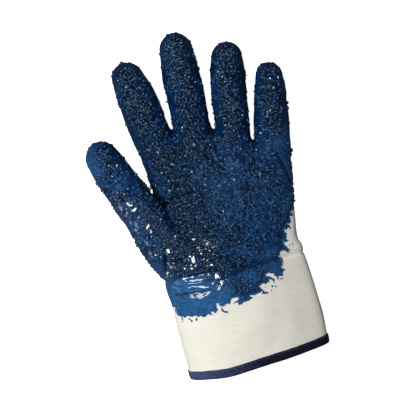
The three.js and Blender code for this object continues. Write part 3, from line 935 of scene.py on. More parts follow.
class Nodes:
    """Adds nodes to a tree, each with its settings and with values or links for its inputs."""

    def __init__(self, tree):
        self.tree = tree

    def fill(self, node, inputs):
        """Links each input that is given a socket, and sets the others."""
        for key, value in inputs.items():
            if isinstance(value, bpy.types.NodeSocket):
                self.tree.links.new(value, node.inputs[key])
            else:
                node.inputs[key].default_value = value
        return node

    def add(self, kind, inputs=None, **settings):
        node = self.tree.nodes.new(kind)
        for key, value in settings.items():
            setattr(node, key, value)
        return self.fill(node, inputs or {})

    def math(self, operation, a, b=0.0, c=0.0):
        return self.add("ShaderNodeMath", {0: a, 1: b, 2: c}, operation=operation).outputs[0]

    def times(self, a, b):
        return self.math("MULTIPLY", a, b)

    def wave(self, turns):
        """A sine wave that crosses zero at each whole number."""
        return self.math("SINE", self.times(turns, math.pi))

    def vector(self, operation, a, b):
        """Sums with vectors, where SCALE takes a plain value for its second."""
        second = "Scale" if operation == "SCALE" else 1
        return self.add("ShaderNodeVectorMath", {0: a, second: b}, operation=operation).outputs[0]

    def parts(self, vector):
        return self.add("ShaderNodeSeparateXYZ", {0: vector}).outputs

    def joined(self, x, y, z):
        return self.add("ShaderNodeCombineXYZ", {0: x, 1: y, 2: z}).outputs[0]

    def mix(self, share, a, b):
        return self.add("ShaderNodeMix", {0: share, 6: a, 7: b}, data_type="RGBA").outputs[2]

    def noise(self, vector, size, detail=2.0, roughness=0.5):
        """Noise whose features are about size metres across."""
        inputs = {"Vector": vector, "Scale": 1.0 / size, "Detail": detail, "Roughness": roughness}
        return self.add("ShaderNodeTexNoise", inputs).outputs["Fac"]

    def shift(self, vector, scale, detail, reach):
        """A random shift that varies smoothly from place to place, by up to half of reach each way."""
        inputs = {"Vector": vector, "Scale": scale, "Detail": detail}
        noise = self.add("ShaderNodeTexNoise", inputs).outputs["Color"]
        return self.vector("SCALE", self.vector("SUBTRACT", noise, (0.5, 0.5, 0.5)), reach)

    def stretched(self, vector, share):
        """Coordinates that make a pattern longer across the cloth."""
        return self.add("ShaderNodeMapping", {"Vector": vector, "Scale": (share, 1.0, 1.0)}).outputs[0]

    def cells(self, vector, scale):
        """How far each place is from the middle of its own random cell."""
        return self.add("ShaderNodeTexVoronoi", {"Vector": vector, "Scale": scale}).outputs["Distance"]

    def ramp(self, value, low, high, start=0.0, end=1.0):
        inputs = {"Value": value, "From Min": low, "From Max": high, "To Min": start, "To Max": end}
        return self.add("ShaderNodeMapRange", inputs).outputs["Result"]

    def bump(self, height, distance, normal=None):
        inputs = {"Height": height, "Distance": distance, "Strength": 1.0}
        if normal is not None:
            inputs["Normal"] = normal
        return self.add("ShaderNodeBump", inputs).outputs["Normal"]

    def value(self, name):
        return self.add("ShaderNodeAttribute", attribute_name=name).outputs["Fac"]

    def place(self):
        return self.add("ShaderNodeTexCoord").outputs["Object"]

    def cloth(self):
        return self.add("ShaderNodeUVMap", uv_map="UVMap").outputs["UV"]

    def group(self, tree, inputs):
        return self.add("ShaderNodeGroup", inputs, node_tree=tree).outputs

    def random_vector(self, seed, low, high):
        inputs = {0: low, 1: high, "Seed": seed}
        return self.add("FunctionNodeRandomValue", inputs, data_type="FLOAT_VECTOR").outputs[0]

    def copies(self, points, grain, rotation, scale):
        """Real copies of one grain on points, each turned and scaled."""
        inputs = {"Points": points, "Instance": grain, "Rotation": rotation, "Scale": scale}
        placed = self.add("GeometryNodeInstanceOnPoints", inputs).outputs[0]
        return self.add("GeometryNodeRealizeInstances", {"Geometry": placed}).outputs[0]

    def dressed(self, geometry, material, smooth=True):
        """The geometry with its material, smooth where that is chosen."""
        inputs = {"Geometry": geometry, "Selection": smooth}
        shaded = self.add("GeometryNodeSetShadeSmooth", inputs).outputs[0]
        return self.add("GeometryNodeSetMaterial", {"Geometry": shaded, "Material": material}).outputs[0]


class GroupNodes(Nodes):
    """The nodes inside a new group, between the sockets that it is given and the ones that it gives."""

    def __init__(self, kind, name, inputs, outputs):
        super().__init__(bpy.data.node_groups.new(name, kind))
        for way, sockets in (("INPUT", inputs), ("OUTPUT", outputs)):
            for label, socket in sockets.items():
                self.tree.interface.new_socket(label, in_out=way, socket_type="NodeSocket" + socket)
        self.given = self.add("NodeGroupInput").outputs
        self.end = self.add("NodeGroupOutput")

    def finished(self, outputs):
        self.fill(self.end, outputs)
        return self.tree


class MaterialNodes(Nodes):
    """The nodes of a new material, round its main shader."""

    def __init__(self, name):
        self.material = bpy.data.materials.new(name)
        self.material.use_nodes = True
        super().__init__(self.material.node_tree)
        self.colours = bpy.context.scene.glove_colours

    def finished(self, inputs):
        self.fill(self.tree.nodes["Principled BSDF"], inputs)
        return self.material


@functools.cache
def weave_group():
    """Plain weave: warp and weft threads that pass over each other by turns."""
    inputs = {"Vector": "Vector", "Thread": "Float", "Slub": "Float"}
    nodes = GroupNodes("ShaderNodeTree", "Plain Weave", inputs, {"Height": "Float", "Gap": "Float"})
    given = nodes.given
    slub = nodes.shift(given["Vector"], 260.0, 2.0, given["Slub"])
    parts = nodes.parts(nodes.vector("ADD", given["Vector"], slub))
    waves = [nodes.wave(nodes.math("DIVIDE", parts[k], given["Thread"])) for k in (0, 1)]
    warp, weft = (nodes.math("ABSOLUTE", wave) for wave in waves)
    over = nodes.math("GREATER_THAN", nodes.times(*waves), 0.0)
    low = nodes.times(weft, nodes.math("SUBTRACT", 1.0, over))
    height = nodes.math("ADD", nodes.times(warp, over), nodes.times(low, 0.85))
    gap = nodes.times(nodes.math("SUBTRACT", 1.0, warp), nodes.math("SUBTRACT", 1.0, weft))
    return nodes.finished({"Height": height, "Gap": gap})


@functools.cache
def knit_group():
    """Jersey: columns of loops, each a small V."""
    inputs = {"Vector": "Vector", "Loop": "Float"}
    nodes = GroupNodes("ShaderNodeTree", "Jersey Loops", inputs, {"Height": "Float"})
    parts = nodes.parts(nodes.given["Vector"])
    column, row = (nodes.math("DIVIDE", parts[k], nodes.given["Loop"]) for k in (0, 1))
    side = nodes.math("ABSOLUTE", nodes.math("SUBTRACT", nodes.math("FRACT", column), 0.5))
    lean = nodes.math("ADD", nodes.times(row, 1.3), nodes.times(side, 1.6))
    leg = nodes.math("ABSOLUTE", nodes.wave(lean))
    rib = nodes.wave(nodes.times(side, 2.0))
    return nodes.finished({"Height": nodes.times(leg, nodes.math("ADD", 0.35, rib))})


@functools.cache
def blotch_group():
    """Slow changes of colour over a surface, with finer ones inside them, from 0 to 1."""
    inputs = {"Vector": "Vector", "Size": "Float", "Contrast": "Float"}
    nodes = GroupNodes("ShaderNodeTree", "Blotches", inputs, {"Value": "Float"})
    given = nodes.given
    scale = nodes.math("DIVIDE", 1.0, given["Size"])
    inputs = {"Vector": given["Vector"], "Scale": scale, "Detail": 5.0, "Roughness": 0.6}
    centred = nodes.math("SUBTRACT", nodes.add("ShaderNodeTexNoise", inputs).outputs["Fac"], 0.5)
    value = nodes.math("MULTIPLY_ADD", centred, given["Contrast"], 0.5)
    return nodes.finished({"Value": nodes.add("ShaderNodeClamp", {"Value": value}).outputs[0]})


@functools.cache
def dome_group():
    """Uneven low domes side by side, as crumbs make them under a skin."""
    inputs = {"Vector": "Vector", "Size": "Float"}
    nodes = GroupNodes("ShaderNodeTree", "Domes", inputs, {"Height": "Float"})
    given = nodes.given
    scale = nodes.math("DIVIDE", 1.0, given["Size"])
    moved = nodes.vector("ADD", given["Vector"], nodes.shift(given["Vector"], scale, 1.0, given["Size"]))
    gap = nodes.cells(moved, scale)
    return nodes.finished({"Height": nodes.math("SUBTRACT", 1.0, nodes.times(gap, gap))})


def blotches(nodes, place, size, contrast):
    return nodes.group(blotch_group(), {"Vector": place, "Size": size, "Contrast": contrast})["Value"]


def woven(nodes, cloth, thread, slub):
    return nodes.group(weave_group(), {"Vector": cloth, "Thread": thread, "Slub": slub})


def tint(colour, share=1.0):
    """A colour as a shader takes it, darker or lighter by a share."""
    return (*(share * c for c in colour), 1.0)


def crumbly_colour(nodes, place, rough):
    """The rubber's colour where it is rough: a painted shade for the dark gaps between crumbs, mottled with a lighter
    blue that is itself darker, as painted shade, where the crumbs lie densest.
    """
    rubber = nodes.colours.rubber
    # Painted shade: the lighter blue is darker where the crumbs lie densest
    pale = nodes.mix(nodes.ramp(rough, 0.9, 0.5), tint(rubber, 0.8), tint(rubber, 2.6))
    shade = nodes.noise(place, 0.0030, 2.0, 0.6)
    # Painted shade for the gaps between crumbs, mottled with the lighter blue
    return nodes.mix(nodes.ramp(shade, 0.35, 0.65), tint(nodes.colours.painted_rubber_shade), pale)


@functools.cache
def rubber_material():
    """Dark blue nitrile: deep where it is thick, lighter and showing the weave where it soaked in thinly, with painted
    shade in its creases, its seam, the wrinkles of its thin film and the gaps between its crumbs.
    """
    nodes = MaterialNodes("nitrile_rubber")
    rubber, place, cloth = nodes.colours.rubber, nodes.place(), nodes.cloth()
    thin, rough, wet, crease_shade = (nodes.value(key) for key in ("thin", "rough", "wet", "crease_shade"))
    body = nodes.mix(blotches(nodes, place, 0.02, 2.2), tint(rubber, 0.3), tint(rubber, 1.6))
    # Where crumbs lie, the colour takes the crumbs' painted shade
    body = nodes.mix(nodes.ramp(rough, 0.1, 0.5), body, crumbly_colour(nodes, place, rough))
    weave = woven(nodes, cloth, 0.0009, 0.0006)["Height"]
    wrinkles = nodes.noise(nodes.stretched(cloth, 0.45), 0.0017, 2.0, 0.6)
    # The weave shows through the thin rubber, darker between the threads where the rubber lies thicker; the darker
    # troughs of the wrinkles are painted shade
    shade = nodes.times(nodes.ramp(weave, 0.1, 0.9, 0.6, 1.0), nodes.ramp(wrinkles, 0.3, 0.6, 0.35, 1.0))
    soaked = nodes.mix(shade, tint(rubber), tint(nodes.colours.rubber_thin))
    colour = nodes.mix(nodes.ramp(thin, 0.12, 1.0), body, soaked)
    # Painted shade in the creases and along the seam
    colour = nodes.mix(crease_shade, colour, tint(nodes.colours.painted_rubber_shade))
    gloss = nodes.ramp(blotches(nodes, place, 0.0022, 2.4), 0.0, 1.0, 0.08, 0.2)
    uneven = nodes.math("MULTIPLY_ADD", nodes.math("MAXIMUM", rough, wet), 0.7, 0.1)
    normal = nodes.bump(nodes.times(nodes.noise(place, 0.0035, 3.0, 0.5), uneven), 0.0015)
    domes = nodes.group(dome_group(), {"Vector": place, "Size": 0.0027})["Height"]
    normal = nodes.bump(nodes.times(domes, rough), 0.0018, normal)
    threads = nodes.times(nodes.math("MULTIPLY_ADD", wrinkles, 3.0, weave), thin)
    inputs = {
        "Base Color": colour,
        "Roughness": nodes.math("MULTIPLY_ADD", thin, 0.55, gloss),
        "Coat Weight": nodes.times(wet, nodes.ramp(thin, 0.3, 1.0, 1.0, 0.12)),
        "Normal": nodes.bump(threads, 0.00045, normal),
    }
    return nodes.finished(inputs | RUBBER_SHEEN)


@functools.cache
def crumb_material():
    """The same rubber over crumbs, wet-looking, each crumb a little different."""
    nodes = MaterialNodes("rubber_crumbs")
    place = nodes.place()
    grain = nodes.noise(place, 0.0018, 1.0, 0.5)
    inputs = {
        "Base Color": crumbly_colour(nodes, place, nodes.value("rough")),
        "Roughness": nodes.ramp(grain, 0.3, 0.7, 0.15, 0.42),
        "Normal": nodes.bump(grain, 0.0001),
    }
    return nodes.finished(inputs | CRUMB_SHEEN)


@functools.cache
def canvas_material():
    """Unbleached cotton canvas, with a fine weave and painted shade in its gaps, faint slubs and a few dark flecks."""
    nodes = MaterialNodes("cotton_canvas")
    canvas, place, cloth = nodes.colours.canvas, nodes.place(), nodes.cloth()
    weave = woven(nodes, cloth, 0.00085, 0.0007)
    slubs = nodes.noise(nodes.stretched(cloth, 0.16), 0.0016, 3.0, 0.6)
    colour = nodes.mix(blotches(nodes, place, 0.03, 1.4), tint(canvas, 0.86), tint(canvas))
    colour = nodes.mix(nodes.ramp(slubs, 0.35, 0.65, 0.0, 0.5), colour, tint(canvas, 0.78))
    # Painted shade in the gaps between the threads
    colour = nodes.mix(nodes.ramp(weave["Gap"], 0.1, 0.7, 0.0, 0.7), colour, tint(canvas, 0.5))
    fleck = nodes.ramp(nodes.cells(place, 120.0), 0.02, 0.045, 0.55, 0.0)
    height = nodes.math("ADD", weave["Height"], nodes.times(slubs, 0.8))
    inputs = {
        "Base Color": nodes.mix(fleck, colour, tint(nodes.colours.fleck)),
        "Roughness": nodes.ramp(slubs, 0.2, 0.8, 0.82, 0.95),
        "Normal": nodes.bump(height, 0.00022),
        "Specular IOR Level": 0.25,
        "Sheen Weight": 0.12,
    }
    return nodes.finished(inputs)


@functools.cache
def jersey_material():
    """Unbleached cotton jersey, in columns of small loops, with painted shade between them."""
    nodes = MaterialNodes("cotton_jersey")
    jersey, place = nodes.colours.jersey, nodes.place()
    loops = nodes.group(knit_group(), {"Vector": nodes.cloth(), "Loop": 0.0011})["Height"]
    fuzz = nodes.noise(place, 0.0009, 4.0, 0.7)
    colour = nodes.mix(blotches(nodes, place, 0.018, 1.6), tint(jersey, 0.9), tint(jersey))
    inputs = {
        # Painted shade between the loops
        "Base Color": nodes.mix(nodes.ramp(loops, 0.0, 0.5, 0.2, 0.0), colour, tint(jersey, 0.75)),
        "Roughness": nodes.ramp(fuzz, 0.2, 0.8, 0.85, 1.0),
        "Normal": nodes.bump(nodes.math("ADD", loops, nodes.times(fuzz, 0.6)), 0.0003),
        "Specular IOR Level": 0.2,
        "Sheen Weight": 0.2,
    }
    return nodes.finished(inputs)


@functools.cache
def tape_material():
    """Navy binding tape with fine ribs across it and painted shade between them, paler fibres that make it look
    mottled, and a painted light that makes it lighter towards the thumb's side.
    """
    nodes = MaterialNodes("binding_tape")
    tape, place = nodes.colours.tape, nodes.place()
    ribs = woven(nodes, nodes.cloth(), 0.0007, 0.0004)["Height"]
    mottle = nodes.noise(place, 0.0022, 4.0, 0.7)
    # Painted light: lighter towards the thumb's side, where the key light falls, and darker towards the little
    # finger's side, with paler fibres mixed in
    painted_light_and_mottle = nodes.ramp(nodes.parts(place)[0], -0.06, 0.03, 1.0, -0.35)
    painted_light_and_mottle = nodes.math("MULTIPLY_ADD", nodes.ramp(mottle, 0.4, 0.66), 0.5, painted_light_and_mottle)
    colour = nodes.mix(painted_light_and_mottle, tint(tape, 0.4), tint(tape, 5.0))
    inputs = {
        # Painted shade between the ribs
        "Base Color": nodes.mix(nodes.ramp(ribs, 0.0, 0.5, 0.5, 0.0), colour, tint(tape, 0.4)),
        "Roughness": nodes.ramp(mottle, 0.2, 0.8, 0.72, 0.92),
        "Normal": nodes.bump(nodes.math("ADD", ribs, mottle), 0.00025),
        "Specular IOR Level": 0.12,
    }
    return nodes.finished(inputs)


@functools.cache
def thread_material():
    """The tape's colour, lighter along the twist of the thread."""
    nodes = MaterialNodes("sewing_thread")
    twist = nodes.noise(nodes.place(), 0.0005, 2.0, 0.5)
    inputs = {
        "Base Color": nodes.mix(twist, tint(nodes.colours.tape), tint(nodes.colours.tape, 3.0)),
        "Roughness": nodes.ramp(twist, 0.2, 0.8, 0.5, 0.7),
        "Sheen Weight": 0.1,
    }
    return nodes.finished(inputs)


@functools.cache
def floor_material():
    """White and lit to the camera, and dim to everything else."""
    nodes = MaterialNodes("pale_floor")
    floor = nodes.colours.floor
    wide = nodes.noise(nodes.place(), 0.4, 2.0, 0.5)
    seen = nodes.add("ShaderNodeLightPath").outputs["Is Camera Ray"]
    colour = nodes.mix(wide, tint(floor), tint(floor, 0.99))
    dim = nodes.mix(wide, *(tint(floor, share) for share in FLOOR_BOUNCE))
    inputs = {
        "Base Color": nodes.mix(seen, dim, colour),
        "Emission Strength": nodes.times(seen, FLOOR_GLOW),
        "Emission Color": (1.0, 1.0, 1.0, 1.0),
        "Roughness": 0.95,
        "Specular IOR Level": 0.1,
    }
    return nodes.finished(inputs)


def cut_skin(points, faces, normals, field):
    """The part of a skin where a field is above zero: its points, faces, normals and field."""
    packed, faces = clipped(np.column_stack([points, normals, field]), faces, field)
    return packed[:, :3], faces, packed[:, 3:6], packed[:, 6]


def coating_skin():
    """The coated part of the skin: points, faces, normals, and how deep each point is in the dip."""
    points, faces, normals = fine_skin()
    depth = ragged(points, dip_depth(points))
    points, faces, normals, depth = cut_skin(points, faces, normals, depth)
    return points, faces, unit(normals), np.maximum(depth, 0.0)


@functools.cache
def coating_outside():
    """The rubber's outer and inner points, its faces and normals, and its finish from place to place."""
    points, faces, normals, depth = coating_skin()
    thin = thinness_of(points, depth)
    crease_shade = crease_shade_of(points)
    wet = wetness_of(points, normals)
    free, middle, width, start, end = CALM_SEAM
    calm = free * bell(past_seam(points) - middle, width) * (normals[:, 2] > 0)
    rough = roughness_of(points, normals, depth) * (1 - smoothstep(0.25, 0.7, thin)) * (1 - crease_shade)
    rough *= (1 - calm * smoothstep(start, end, points[:, 0])) * smoothstep(*SEEN_FLOOR, points[:, 2])
    swell = (0.16 + 0.25 * rough + 0.4 * wet) * PATCH_NOISE(points, 4.0)
    swell += 0.45 * wet * PATCH_NOISE(points + 90, 2.2)
    swell *= (1 - 0.5 * thin) * smoothstep(1.0, 4.0, depth)
    full = bpy.context.scene.glove_sizes.coating * 1000
    wall = full + (THIN_FILM - full) * thin
    wall = EDGE_FILM + (wall - EDGE_FILM) * smoothstep(0.0, FULL_DEPTH, depth) + swell
    wall += spread(FULLER_SPOTS, points[:, :2], 0.0) * smoothstep(0.0, 0.7, normals[:, 0])
    finish = {"thin": thin, "rough": rough, "wet": wet, "crease_shade": crease_shade}
    return points + normals * wall[:, None], points - normals * UNDER_FILM, faces, normals, finish


def ridden(piece):
    """The piece rides on the glove's one body."""
    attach(piece, BODY)
    return piece


def make_coating():
    outside, inside, faces, _, finish = coating_outside()
    points, wall = shell(outside, inside, faces)
    values = {key: np.tile(value, 2) for key, value in finish.items()}
    piece = add_mesh("rubber_coating", points, wall, rubber_material(), values)
    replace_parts(ridden(piece), "coating")


def make_liner():
    points, faces, normals = coarse_skin()
    points, faces, normals, _ = cut_skin(points, faces, normals, past_seam(points) - LINER_START)
    thick = bpy.context.scene.glove_sizes.liner * 1000
    roll = SEAM_ROLL * bell(past_seam(points), ROLL_WIDTH)
    points, wall = shell(points - normals * roll[:, None], points - normals * thick, faces)
    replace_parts(ridden(add_mesh("jersey_liner", points, wall, jersey_material())), "liner")


def make_cuff():
    points, faces, normals = coarse_skin()
    above_hem = points[:, 1] - hem_y(points[:, 0]) - HEM_START
    points, faces, normals, _ = cut_skin(points, faces, normals, above_hem)
    below_top = seam_y(points[:, 0]) + ALLOWANCE - points[:, 1]
    points, faces, normals, _ = cut_skin(points, faces, normals, below_top)
    sizes = bpy.context.scene.glove_sizes
    past = past_seam(points)
    tucked = (sizes.liner * 1000 + TUCK_GAP) * smoothstep(-SEAM_STEP, SEAM_STEP, past)
    start, less = THIN_CUFF
    thick = sizes.cuff * 1000 * (1 - less * smoothstep(start, SEAM_STEP, past))
    inside = points - normals * (tucked + thick)[:, None]
    points, wall = shell(points - normals * tucked[:, None], inside, faces)
    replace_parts(ridden(add_mesh("canvas_cuff", points, wall, canvas_material())), "cuff")


def hem_ring(above, out, sides=TAPE_SIDES):
    """Points round the cuff, some mm above its hem and out of its face."""
    row = HEM_ROW
    u, v = squarish_ring(2 * math.pi * (np.arange(sides) + 0.5) / sides, row["power"])
    x = (row["left"] + row["right"]) / 2 + (row["right"] - row["left"]) / 2 * u
    z = (row["bottom"] + row["top"]) / 2 + (row["top"] - row["bottom"]) / 2 * v * (1 - row["swell"] * u)
    form = glove_form()
    points = np.column_stack([x, hem_y(x) + above, np.maximum(z, CLOTH_REST)])
    for _ in range(3):
        points = settled(form, points)
        points[:, 1] = hem_y(points[:, 0]) + above
    normals = unit(form.slope(points))
    normals[:, 1] = 0.0
    placed = points + unit(normals) * out
    placed[:, 2] = np.maximum(placed[:, 2], min(CLOTH_REST - out, CLOTH_REST))
    return placed


def sleeve_faces(rings, sides):
    """Triangles over rings of points, each joined to the next and the last to the first."""
    r, i = np.meshgrid(np.arange(rings), np.arange(sides), indexing="ij")
    s, j = (r + 1) % rings, (i + 1) % sides
    corner = lambda a, b: (a * sides + b).ravel()
    a, b, c, d = corner(r, i), corner(r, j), corner(s, j), corner(s, i)
    return np.concatenate([np.stack([a, c, b], axis=1), np.stack([a, d, c], axis=1)])


def make_hem_tape():
    points = np.concatenate([hem_ring(above, out) for above, out in TAPE_SECTION])
    height, size = TAPE_RIPPLE
    points += height * LUMP_NOISE(points, size)[:, None] * (0, 1, 0)
    points[:, 2] = np.maximum(points[:, 2], TAPE_REST)
    faces = sleeve_faces(len(TAPE_SECTION), TAPE_SIDES)
    piece = add_mesh("bound_hem", points, outward(points, faces), tape_material())
    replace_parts(ridden(piece), "hem_tape")


def outward(points, faces):
    """The faces turned so that the solid they enclose is inside them."""
    a, b, c = (points[faces[:, k]] for k in range(3))
    return faces if (a * np.cross(b, c)).sum() > 0 else faces[:, ::-1]


@functools.cache
def crumb_tree():
    """Scatters uneven crumbs over a surface, more of them and larger where it is rougher."""
    inputs = {"Geometry": "Geometry", "Spacing": "Float", "Density": "Float", "Size": "Float"}
    inputs |= {"Seed": "Int", "Material": "Material"}
    nodes = GroupNodes("GeometryNodeTree", "Rubber Crumbs", inputs, {"Geometry": "Geometry"})
    given = nodes.given
    rough = nodes.add("GeometryNodeInputNamedAttribute", {"Name": "rough"}, data_type="FLOAT").outputs[0]
    inputs = {
        "Mesh": given["Geometry"],
        "Distance Min": given["Spacing"],
        "Density Max": given["Density"],
        "Density Factor": rough,
        "Seed": given["Seed"],
    }
    scattered = nodes.add("GeometryNodeDistributePointsOnFaces", inputs, distribute_method="POISSON").outputs
    grain = nodes.add("GeometryNodeMeshIcoSphere", {"Radius": 1.0, "Subdivisions": 1}).outputs["Mesh"]
    tilt = (CRUMB_TILT, CRUMB_TILT, math.pi)
    inputs = {
        "Rotation": scattered["Rotation"],
        "Rotate By": nodes.random_vector(given["Seed"], [-t for t in tilt], tilt),
    }
    turned = nodes.add("FunctionNodeRotateRotation", inputs, rotation_space="LOCAL").outputs[0]
    next_seed = nodes.math("ADD", given["Seed"], 7.0)
    across, along, tall = nodes.parts(nodes.random_vector(next_seed, CRUMB_LEAST, CRUMB_MOST))
    height = nodes.math("MULTIPLY_ADD", nodes.math("POWER", tall, 5.0), 1.3, 0.42)
    growth = nodes.times(given["Size"], nodes.math("MULTIPLY_ADD", rough, 0.25, 0.8))
    scale = nodes.vector("SCALE", nodes.joined(across, along, height), growth)
    real = nodes.copies(scattered["Points"], grain, turned, scale)
    where = nodes.add("GeometryNodeInputPosition").outputs[0]
    push = nodes.shift(where, CRUMB_WOBBLE, 1.0, nodes.times(given["Size"], 0.4))
    uneven = nodes.add("GeometryNodeSetPosition", {"Geometry": real, "Offset": push}).outputs[0]
    inputs = {"Probability": SMOOTH_SHARE}
    smooth = nodes.add("FunctionNodeRandomValue", inputs, data_type="BOOLEAN").outputs[3]
    return nodes.finished({"Geometry": nodes.dressed(uneven, given["Material"], smooth)})


@functools.cache
def stitch_tree():
    """Stitches laid end to end along a line, with a small gap between them."""
    inputs = {"Geometry": "Geometry", "Pitch": "Float", "Length": "Float", "Thread": "Float"}
    inputs |= {"Material": "Material"}
    nodes = GroupNodes("GeometryNodeTree", "Stitches", inputs, {"Geometry": "Geometry"})
    given = nodes.given
    line = nodes.add("GeometryNodeMeshToCurve", {"Mesh": given["Geometry"]}).outputs[0]
    inputs = {"Curve": line, "Length": given["Pitch"]}
    points = nodes.add("GeometryNodeCurveToPoints", inputs, mode="LENGTH").outputs
    grain = nodes.add("GeometryNodeMeshUVSphere", {"Segments": 6, "Rings": 4, "Radius": 1.0}).outputs["Mesh"]
    scale = nodes.joined(given["Thread"], given["Thread"], nodes.times(given["Length"], 0.5))
    real = nodes.copies(points["Points"], grain, points["Rotation"], scale)
    return nodes.finished({"Geometry": nodes.dressed(real, given["Material"])})


def grown(name, host, tree, values):
    """The plain mesh that a geometry tree makes from a host mesh, as an object of its own."""
    modifier = host.modifiers.new(tree.name, "NODES")
    modifier.node_group = tree
    for item in tree.interface.items_tree:
        if item.in_out == "INPUT" and item.name in values:
            modifier[item.identifier] = values[item.name]
    seen = host.evaluated_get(bpy.context.evaluated_depsgraph_get())
    mesh = bpy.data.meshes.new_from_object(seen)
    host.modifiers.remove(modifier)
    bpy.data.objects.remove(host)
    mesh.name = name
    if not mesh.polygons:
        raise RuntimeError(f"{name}: the geometry tree made nothing")
    return add_object(name, mesh)


def crumb_group(centres, up):
    """The number of the group in CRUMB_GROUPS that each face's crumbs belong to."""
    x, y, _ = centres.T
    thumb = (x < -42) & (y > 26) & (x < -45 - 0.36 * (y - 60))
    left = x < 8 + 0.06 * (y - 92)
    return np.select([thumb, (y > 92) & left, (y > 88) & ~left, up > 0], [0, 1, 2, 3], 4)


def make_crumbs():
    sizes = bpy.context.scene.glove_sizes
    outside, _, faces, normals, finish = coating_outside()
    group = crumb_group(outside[faces].mean(axis=1), normals[faces, 2].mean(axis=1))
    carried = np.column_stack([outside, finish["rough"]])
    values = {"Spacing": sizes.crumb_spacing, "Density": sizes.crumb_density, "Size": sizes.crumb}
    for number, name in enumerate(CRUMB_GROUPS):
        points, chosen = compact(carried, faces[group == number])
        host = add_mesh(name + "_host", points[:, :3], chosen, crumb_material(), {"rough": points[:, 3]})
        values |= {"Seed": FIRST_CRUMB_SEED + number, "Material": crumb_material()}
        ridden(grown(name, host, crumb_tree(), values))


def make_hem_stitches():
    ring = hem_ring(*STITCH_LINE)
    mesh = bpy.data.meshes.new("hem_stitch_line")
    mesh.from_pydata(in_frame(ring), [(i, (i + 1) % len(ring)) for i in range(len(ring))], [])
    sizes = bpy.context.scene.glove_sizes
    values = {"Pitch": sizes.stitch * STITCH_PITCH, "Length": sizes.stitch, "Thread": sizes.thread / 2}
    values |= {"Material": thread_material()}
    host = add_object("hem_stitch_line", mesh)
    ridden(grown("hem_stitches", host, stitch_tree(), values))


def make_stage():
    scene = bpy.context.scene
    half = FLOOR_SIZE / 2
    mesh = bpy.data.meshes.new("floor")
    corners = [(x * half, y * half, FLOOR_Z) for x, y in ((-1, -1), (1, -1), (1, 1), (-1, 1))]
    mesh.from_pydata(corners, [], [(0, 1, 2, 3)])
    mesh.materials.append(floor_material())
    floor = add_object("floor", mesh)
    for name, place, width, height, power in LIGHTS:
        data = bpy.data.lights.new(name, "AREA")
        data.shape = "RECTANGLE"
        data.size, data.size_y, data.energy = width, height, power
        lamp = add_object(name, data)
        lamp.location = place
        aim = Vector(LIGHT_AIM) - lamp.location
        lamp.rotation_euler = aim.to_track_quat("-Z", "Y").to_euler()
    world = bpy.data.worlds.new("studio")
    world.use_nodes = True
    nodes = Nodes(world.node_tree)
    seen = nodes.add("ShaderNodeLightPath").outputs["Is Camera Ray"]
    level = nodes.math("MULTIPLY_ADD", seen, 1.0 - WORLD_LEVEL, WORLD_LEVEL)
    nodes.fill(world.node_tree.nodes["Background"], {"Color": (1.0, 1.0, 1.0, 1.0), "Strength": level})
    scene.world = world
    scene.view_settings.view_transform = "Standard"
    data = bpy.data.cameras.new("camera")
    data.lens, data.sensor_width = CAMERA_LENS, SENSOR
    camera = add_object("camera", data)
    camera.location = CAMERA_AT
    camera.rotation_euler = (0.0, 0.0, math.radians(CAMERA_TURN))
    scene.camera = camera


def length_property(name, words, default):
    return FloatProperty(name=name, description=words, default=default, unit="LENGTH")


class GloveSizes(bpy.types.PropertyGroup):
    """The glove's walls, crumbs and stitches."""

    coating: length_property("Coating", "Thickness of the rubber", 0.0012)
    liner: length_property("Liner", "Thickness of the jersey", 0.0012)
    cuff: length_property("Cuff", "Thickness of the canvas", 0.0016)
    crumb: length_property("Crumb", "Half a crumb's width", 0.0014)
    crumb_spacing: length_property("Crumb spacing", "Least distance between crumbs", 0.0013)
    crumb_density: FloatProperty(
        name="Crumb density", description="Most crumbs tried for each square metre", default=400000.0
    )
    stitch: length_property("Stitch", "Length of one stitch", 0.0026)
    thread: length_property("Thread", "Thickness of the thread", 0.0005)


def colour_property(name, words, default):
    return FloatVectorProperty(name=name, description=words, subtype="COLOR", size=3, default=default)


class GloveColours(bpy.types.PropertyGroup):
    """The glove's colours, and the floor's."""

    # Painted shade of the rubber, for its creases, its seam and the gaps between its crumbs
    painted_rubber_shade: colour_property("Deep rubber", "Thick rubber in its hollows", (0.0003, 0.0021, 0.008))
    rubber: colour_property("Rubber", "Thick rubber where it is plain", (0.0018, 0.0155, 0.054))
    rubber_thin: colour_property("Thin rubber", "Rubber that soaked into the cloth", (0.034, 0.165, 0.42))
    canvas: colour_property("Canvas", "The cuff's cotton", (0.83, 0.81, 0.71))
    jersey: colour_property("Jersey", "The liner's cotton", (0.97, 0.94, 0.84))
    fleck: colour_property("Flecks", "Specks of husk in the cotton", (0.30, 0.27, 0.2))
    tape: colour_property("Tape", "The tape round the hem", (0.011, 0.016, 0.042))
    floor: colour_property("Floor", "The surface that the glove lies on", (0.9, 0.9, 0.9))


class GLOVE_OT_add_stage(bpy.types.Operator):
    """Adds the floor, the lights, the world and the camera"""

    bl_idname = "glove.add_stage"
    bl_label = "Add Stage"

    def execute(self, context):
        make_stage()
        return {"FINISHED"}


class GLOVE_OT_add_cuff(bpy.types.Operator):
    """Adds the canvas cuff with the seam allowance that goes on inside the liner"""

    bl_idname = "glove.add_cuff"
    bl_label = "Add Canvas Cuff"

    def execute(self, context):
        make_cuff()
        return {"FINISHED"}


class GLOVE_OT_add_hem(bpy.types.Operator):
    """Adds the tape that binds the hem, and its row of stitches"""

    bl_idname = "glove.add_hem"
    bl_label = "Add Bound Hem"

    def execute(self, context):
        make_hem_tape()
        make_hem_stitches()
        return {"FINISHED"}


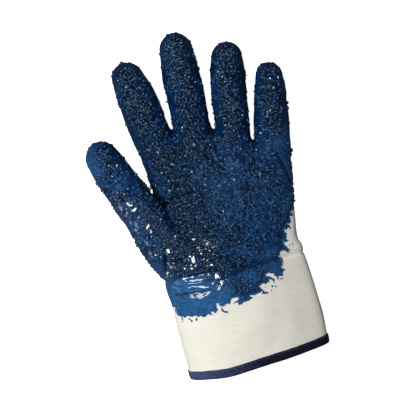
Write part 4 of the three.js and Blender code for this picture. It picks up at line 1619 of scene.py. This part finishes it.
class GLOVE_OT_add_liner(bpy.types.Operator):
    """Adds the jersey liner, from the seam to the fingertips"""

    bl_idname = "glove.add_liner"
    bl_label = "Add Jersey Liner"

    def execute(self, context):
        make_liner()
        return {"FINISHED"}


class GLOVE_OT_add_coating(bpy.types.Operator):
    """Adds the rubber that the glove was dipped in, with its ragged edge"""

    bl_idname = "glove.add_coating"
    bl_label = "Add Rubber Coating"

    def execute(self, context):
        make_coating()
        return {"FINISHED"}


class GLOVE_OT_add_crumbs(bpy.types.Operator):
    """Adds the crumbs that make the rubber rough, one piece for each part of the hand"""

    bl_idname = "glove.add_crumbs"
    bl_label = "Add Crumbs"

    def execute(self, context):
        make_crumbs()
        return {"FINISHED"}


OPERATORS = (
    GLOVE_OT_add_stage,
    GLOVE_OT_add_cuff,
    GLOVE_OT_add_hem,
    GLOVE_OT_add_liner,
    GLOVE_OT_add_coating,
    GLOVE_OT_add_crumbs,
)


class GLOVE_PT_panel(bpy.types.Panel):
    """Lists the glove's sizes and colours, and a button for each of its pieces"""

    bl_idname = "GLOVE_PT_panel"
    bl_label = "Work Glove"
    bl_space_type = "VIEW_3D"
    bl_region_type = "UI"
    bl_category = "Glove"

    def draw(self, context):
        for group in (context.scene.glove_sizes, context.scene.glove_colours):
            box = self.layout.box()
            for name in group.__annotations__:
                box.prop(group, name)
        for operator in OPERATORS:
            self.layout.operator(operator.bl_idname)


CLASSES = (GloveSizes, GloveColours, *OPERATORS, GLOVE_PT_panel)


def register():
    for cls in CLASSES:
        bpy.utils.register_class(cls)
    bpy.types.Scene.glove_sizes = PointerProperty(type=GloveSizes)
    bpy.types.Scene.glove_colours = PointerProperty(type=GloveColours)


def unregister():
    del bpy.types.Scene.glove_colours
    del bpy.types.Scene.glove_sizes
    for cls in reversed(CLASSES):
        bpy.utils.unregister_class(cls)


def main():
    register()
    for operator in OPERATORS:
        group, name = operator.bl_idname.split(".")
        getattr(getattr(bpy.ops, group), name)()


if __name__ == "__main__":
    main()
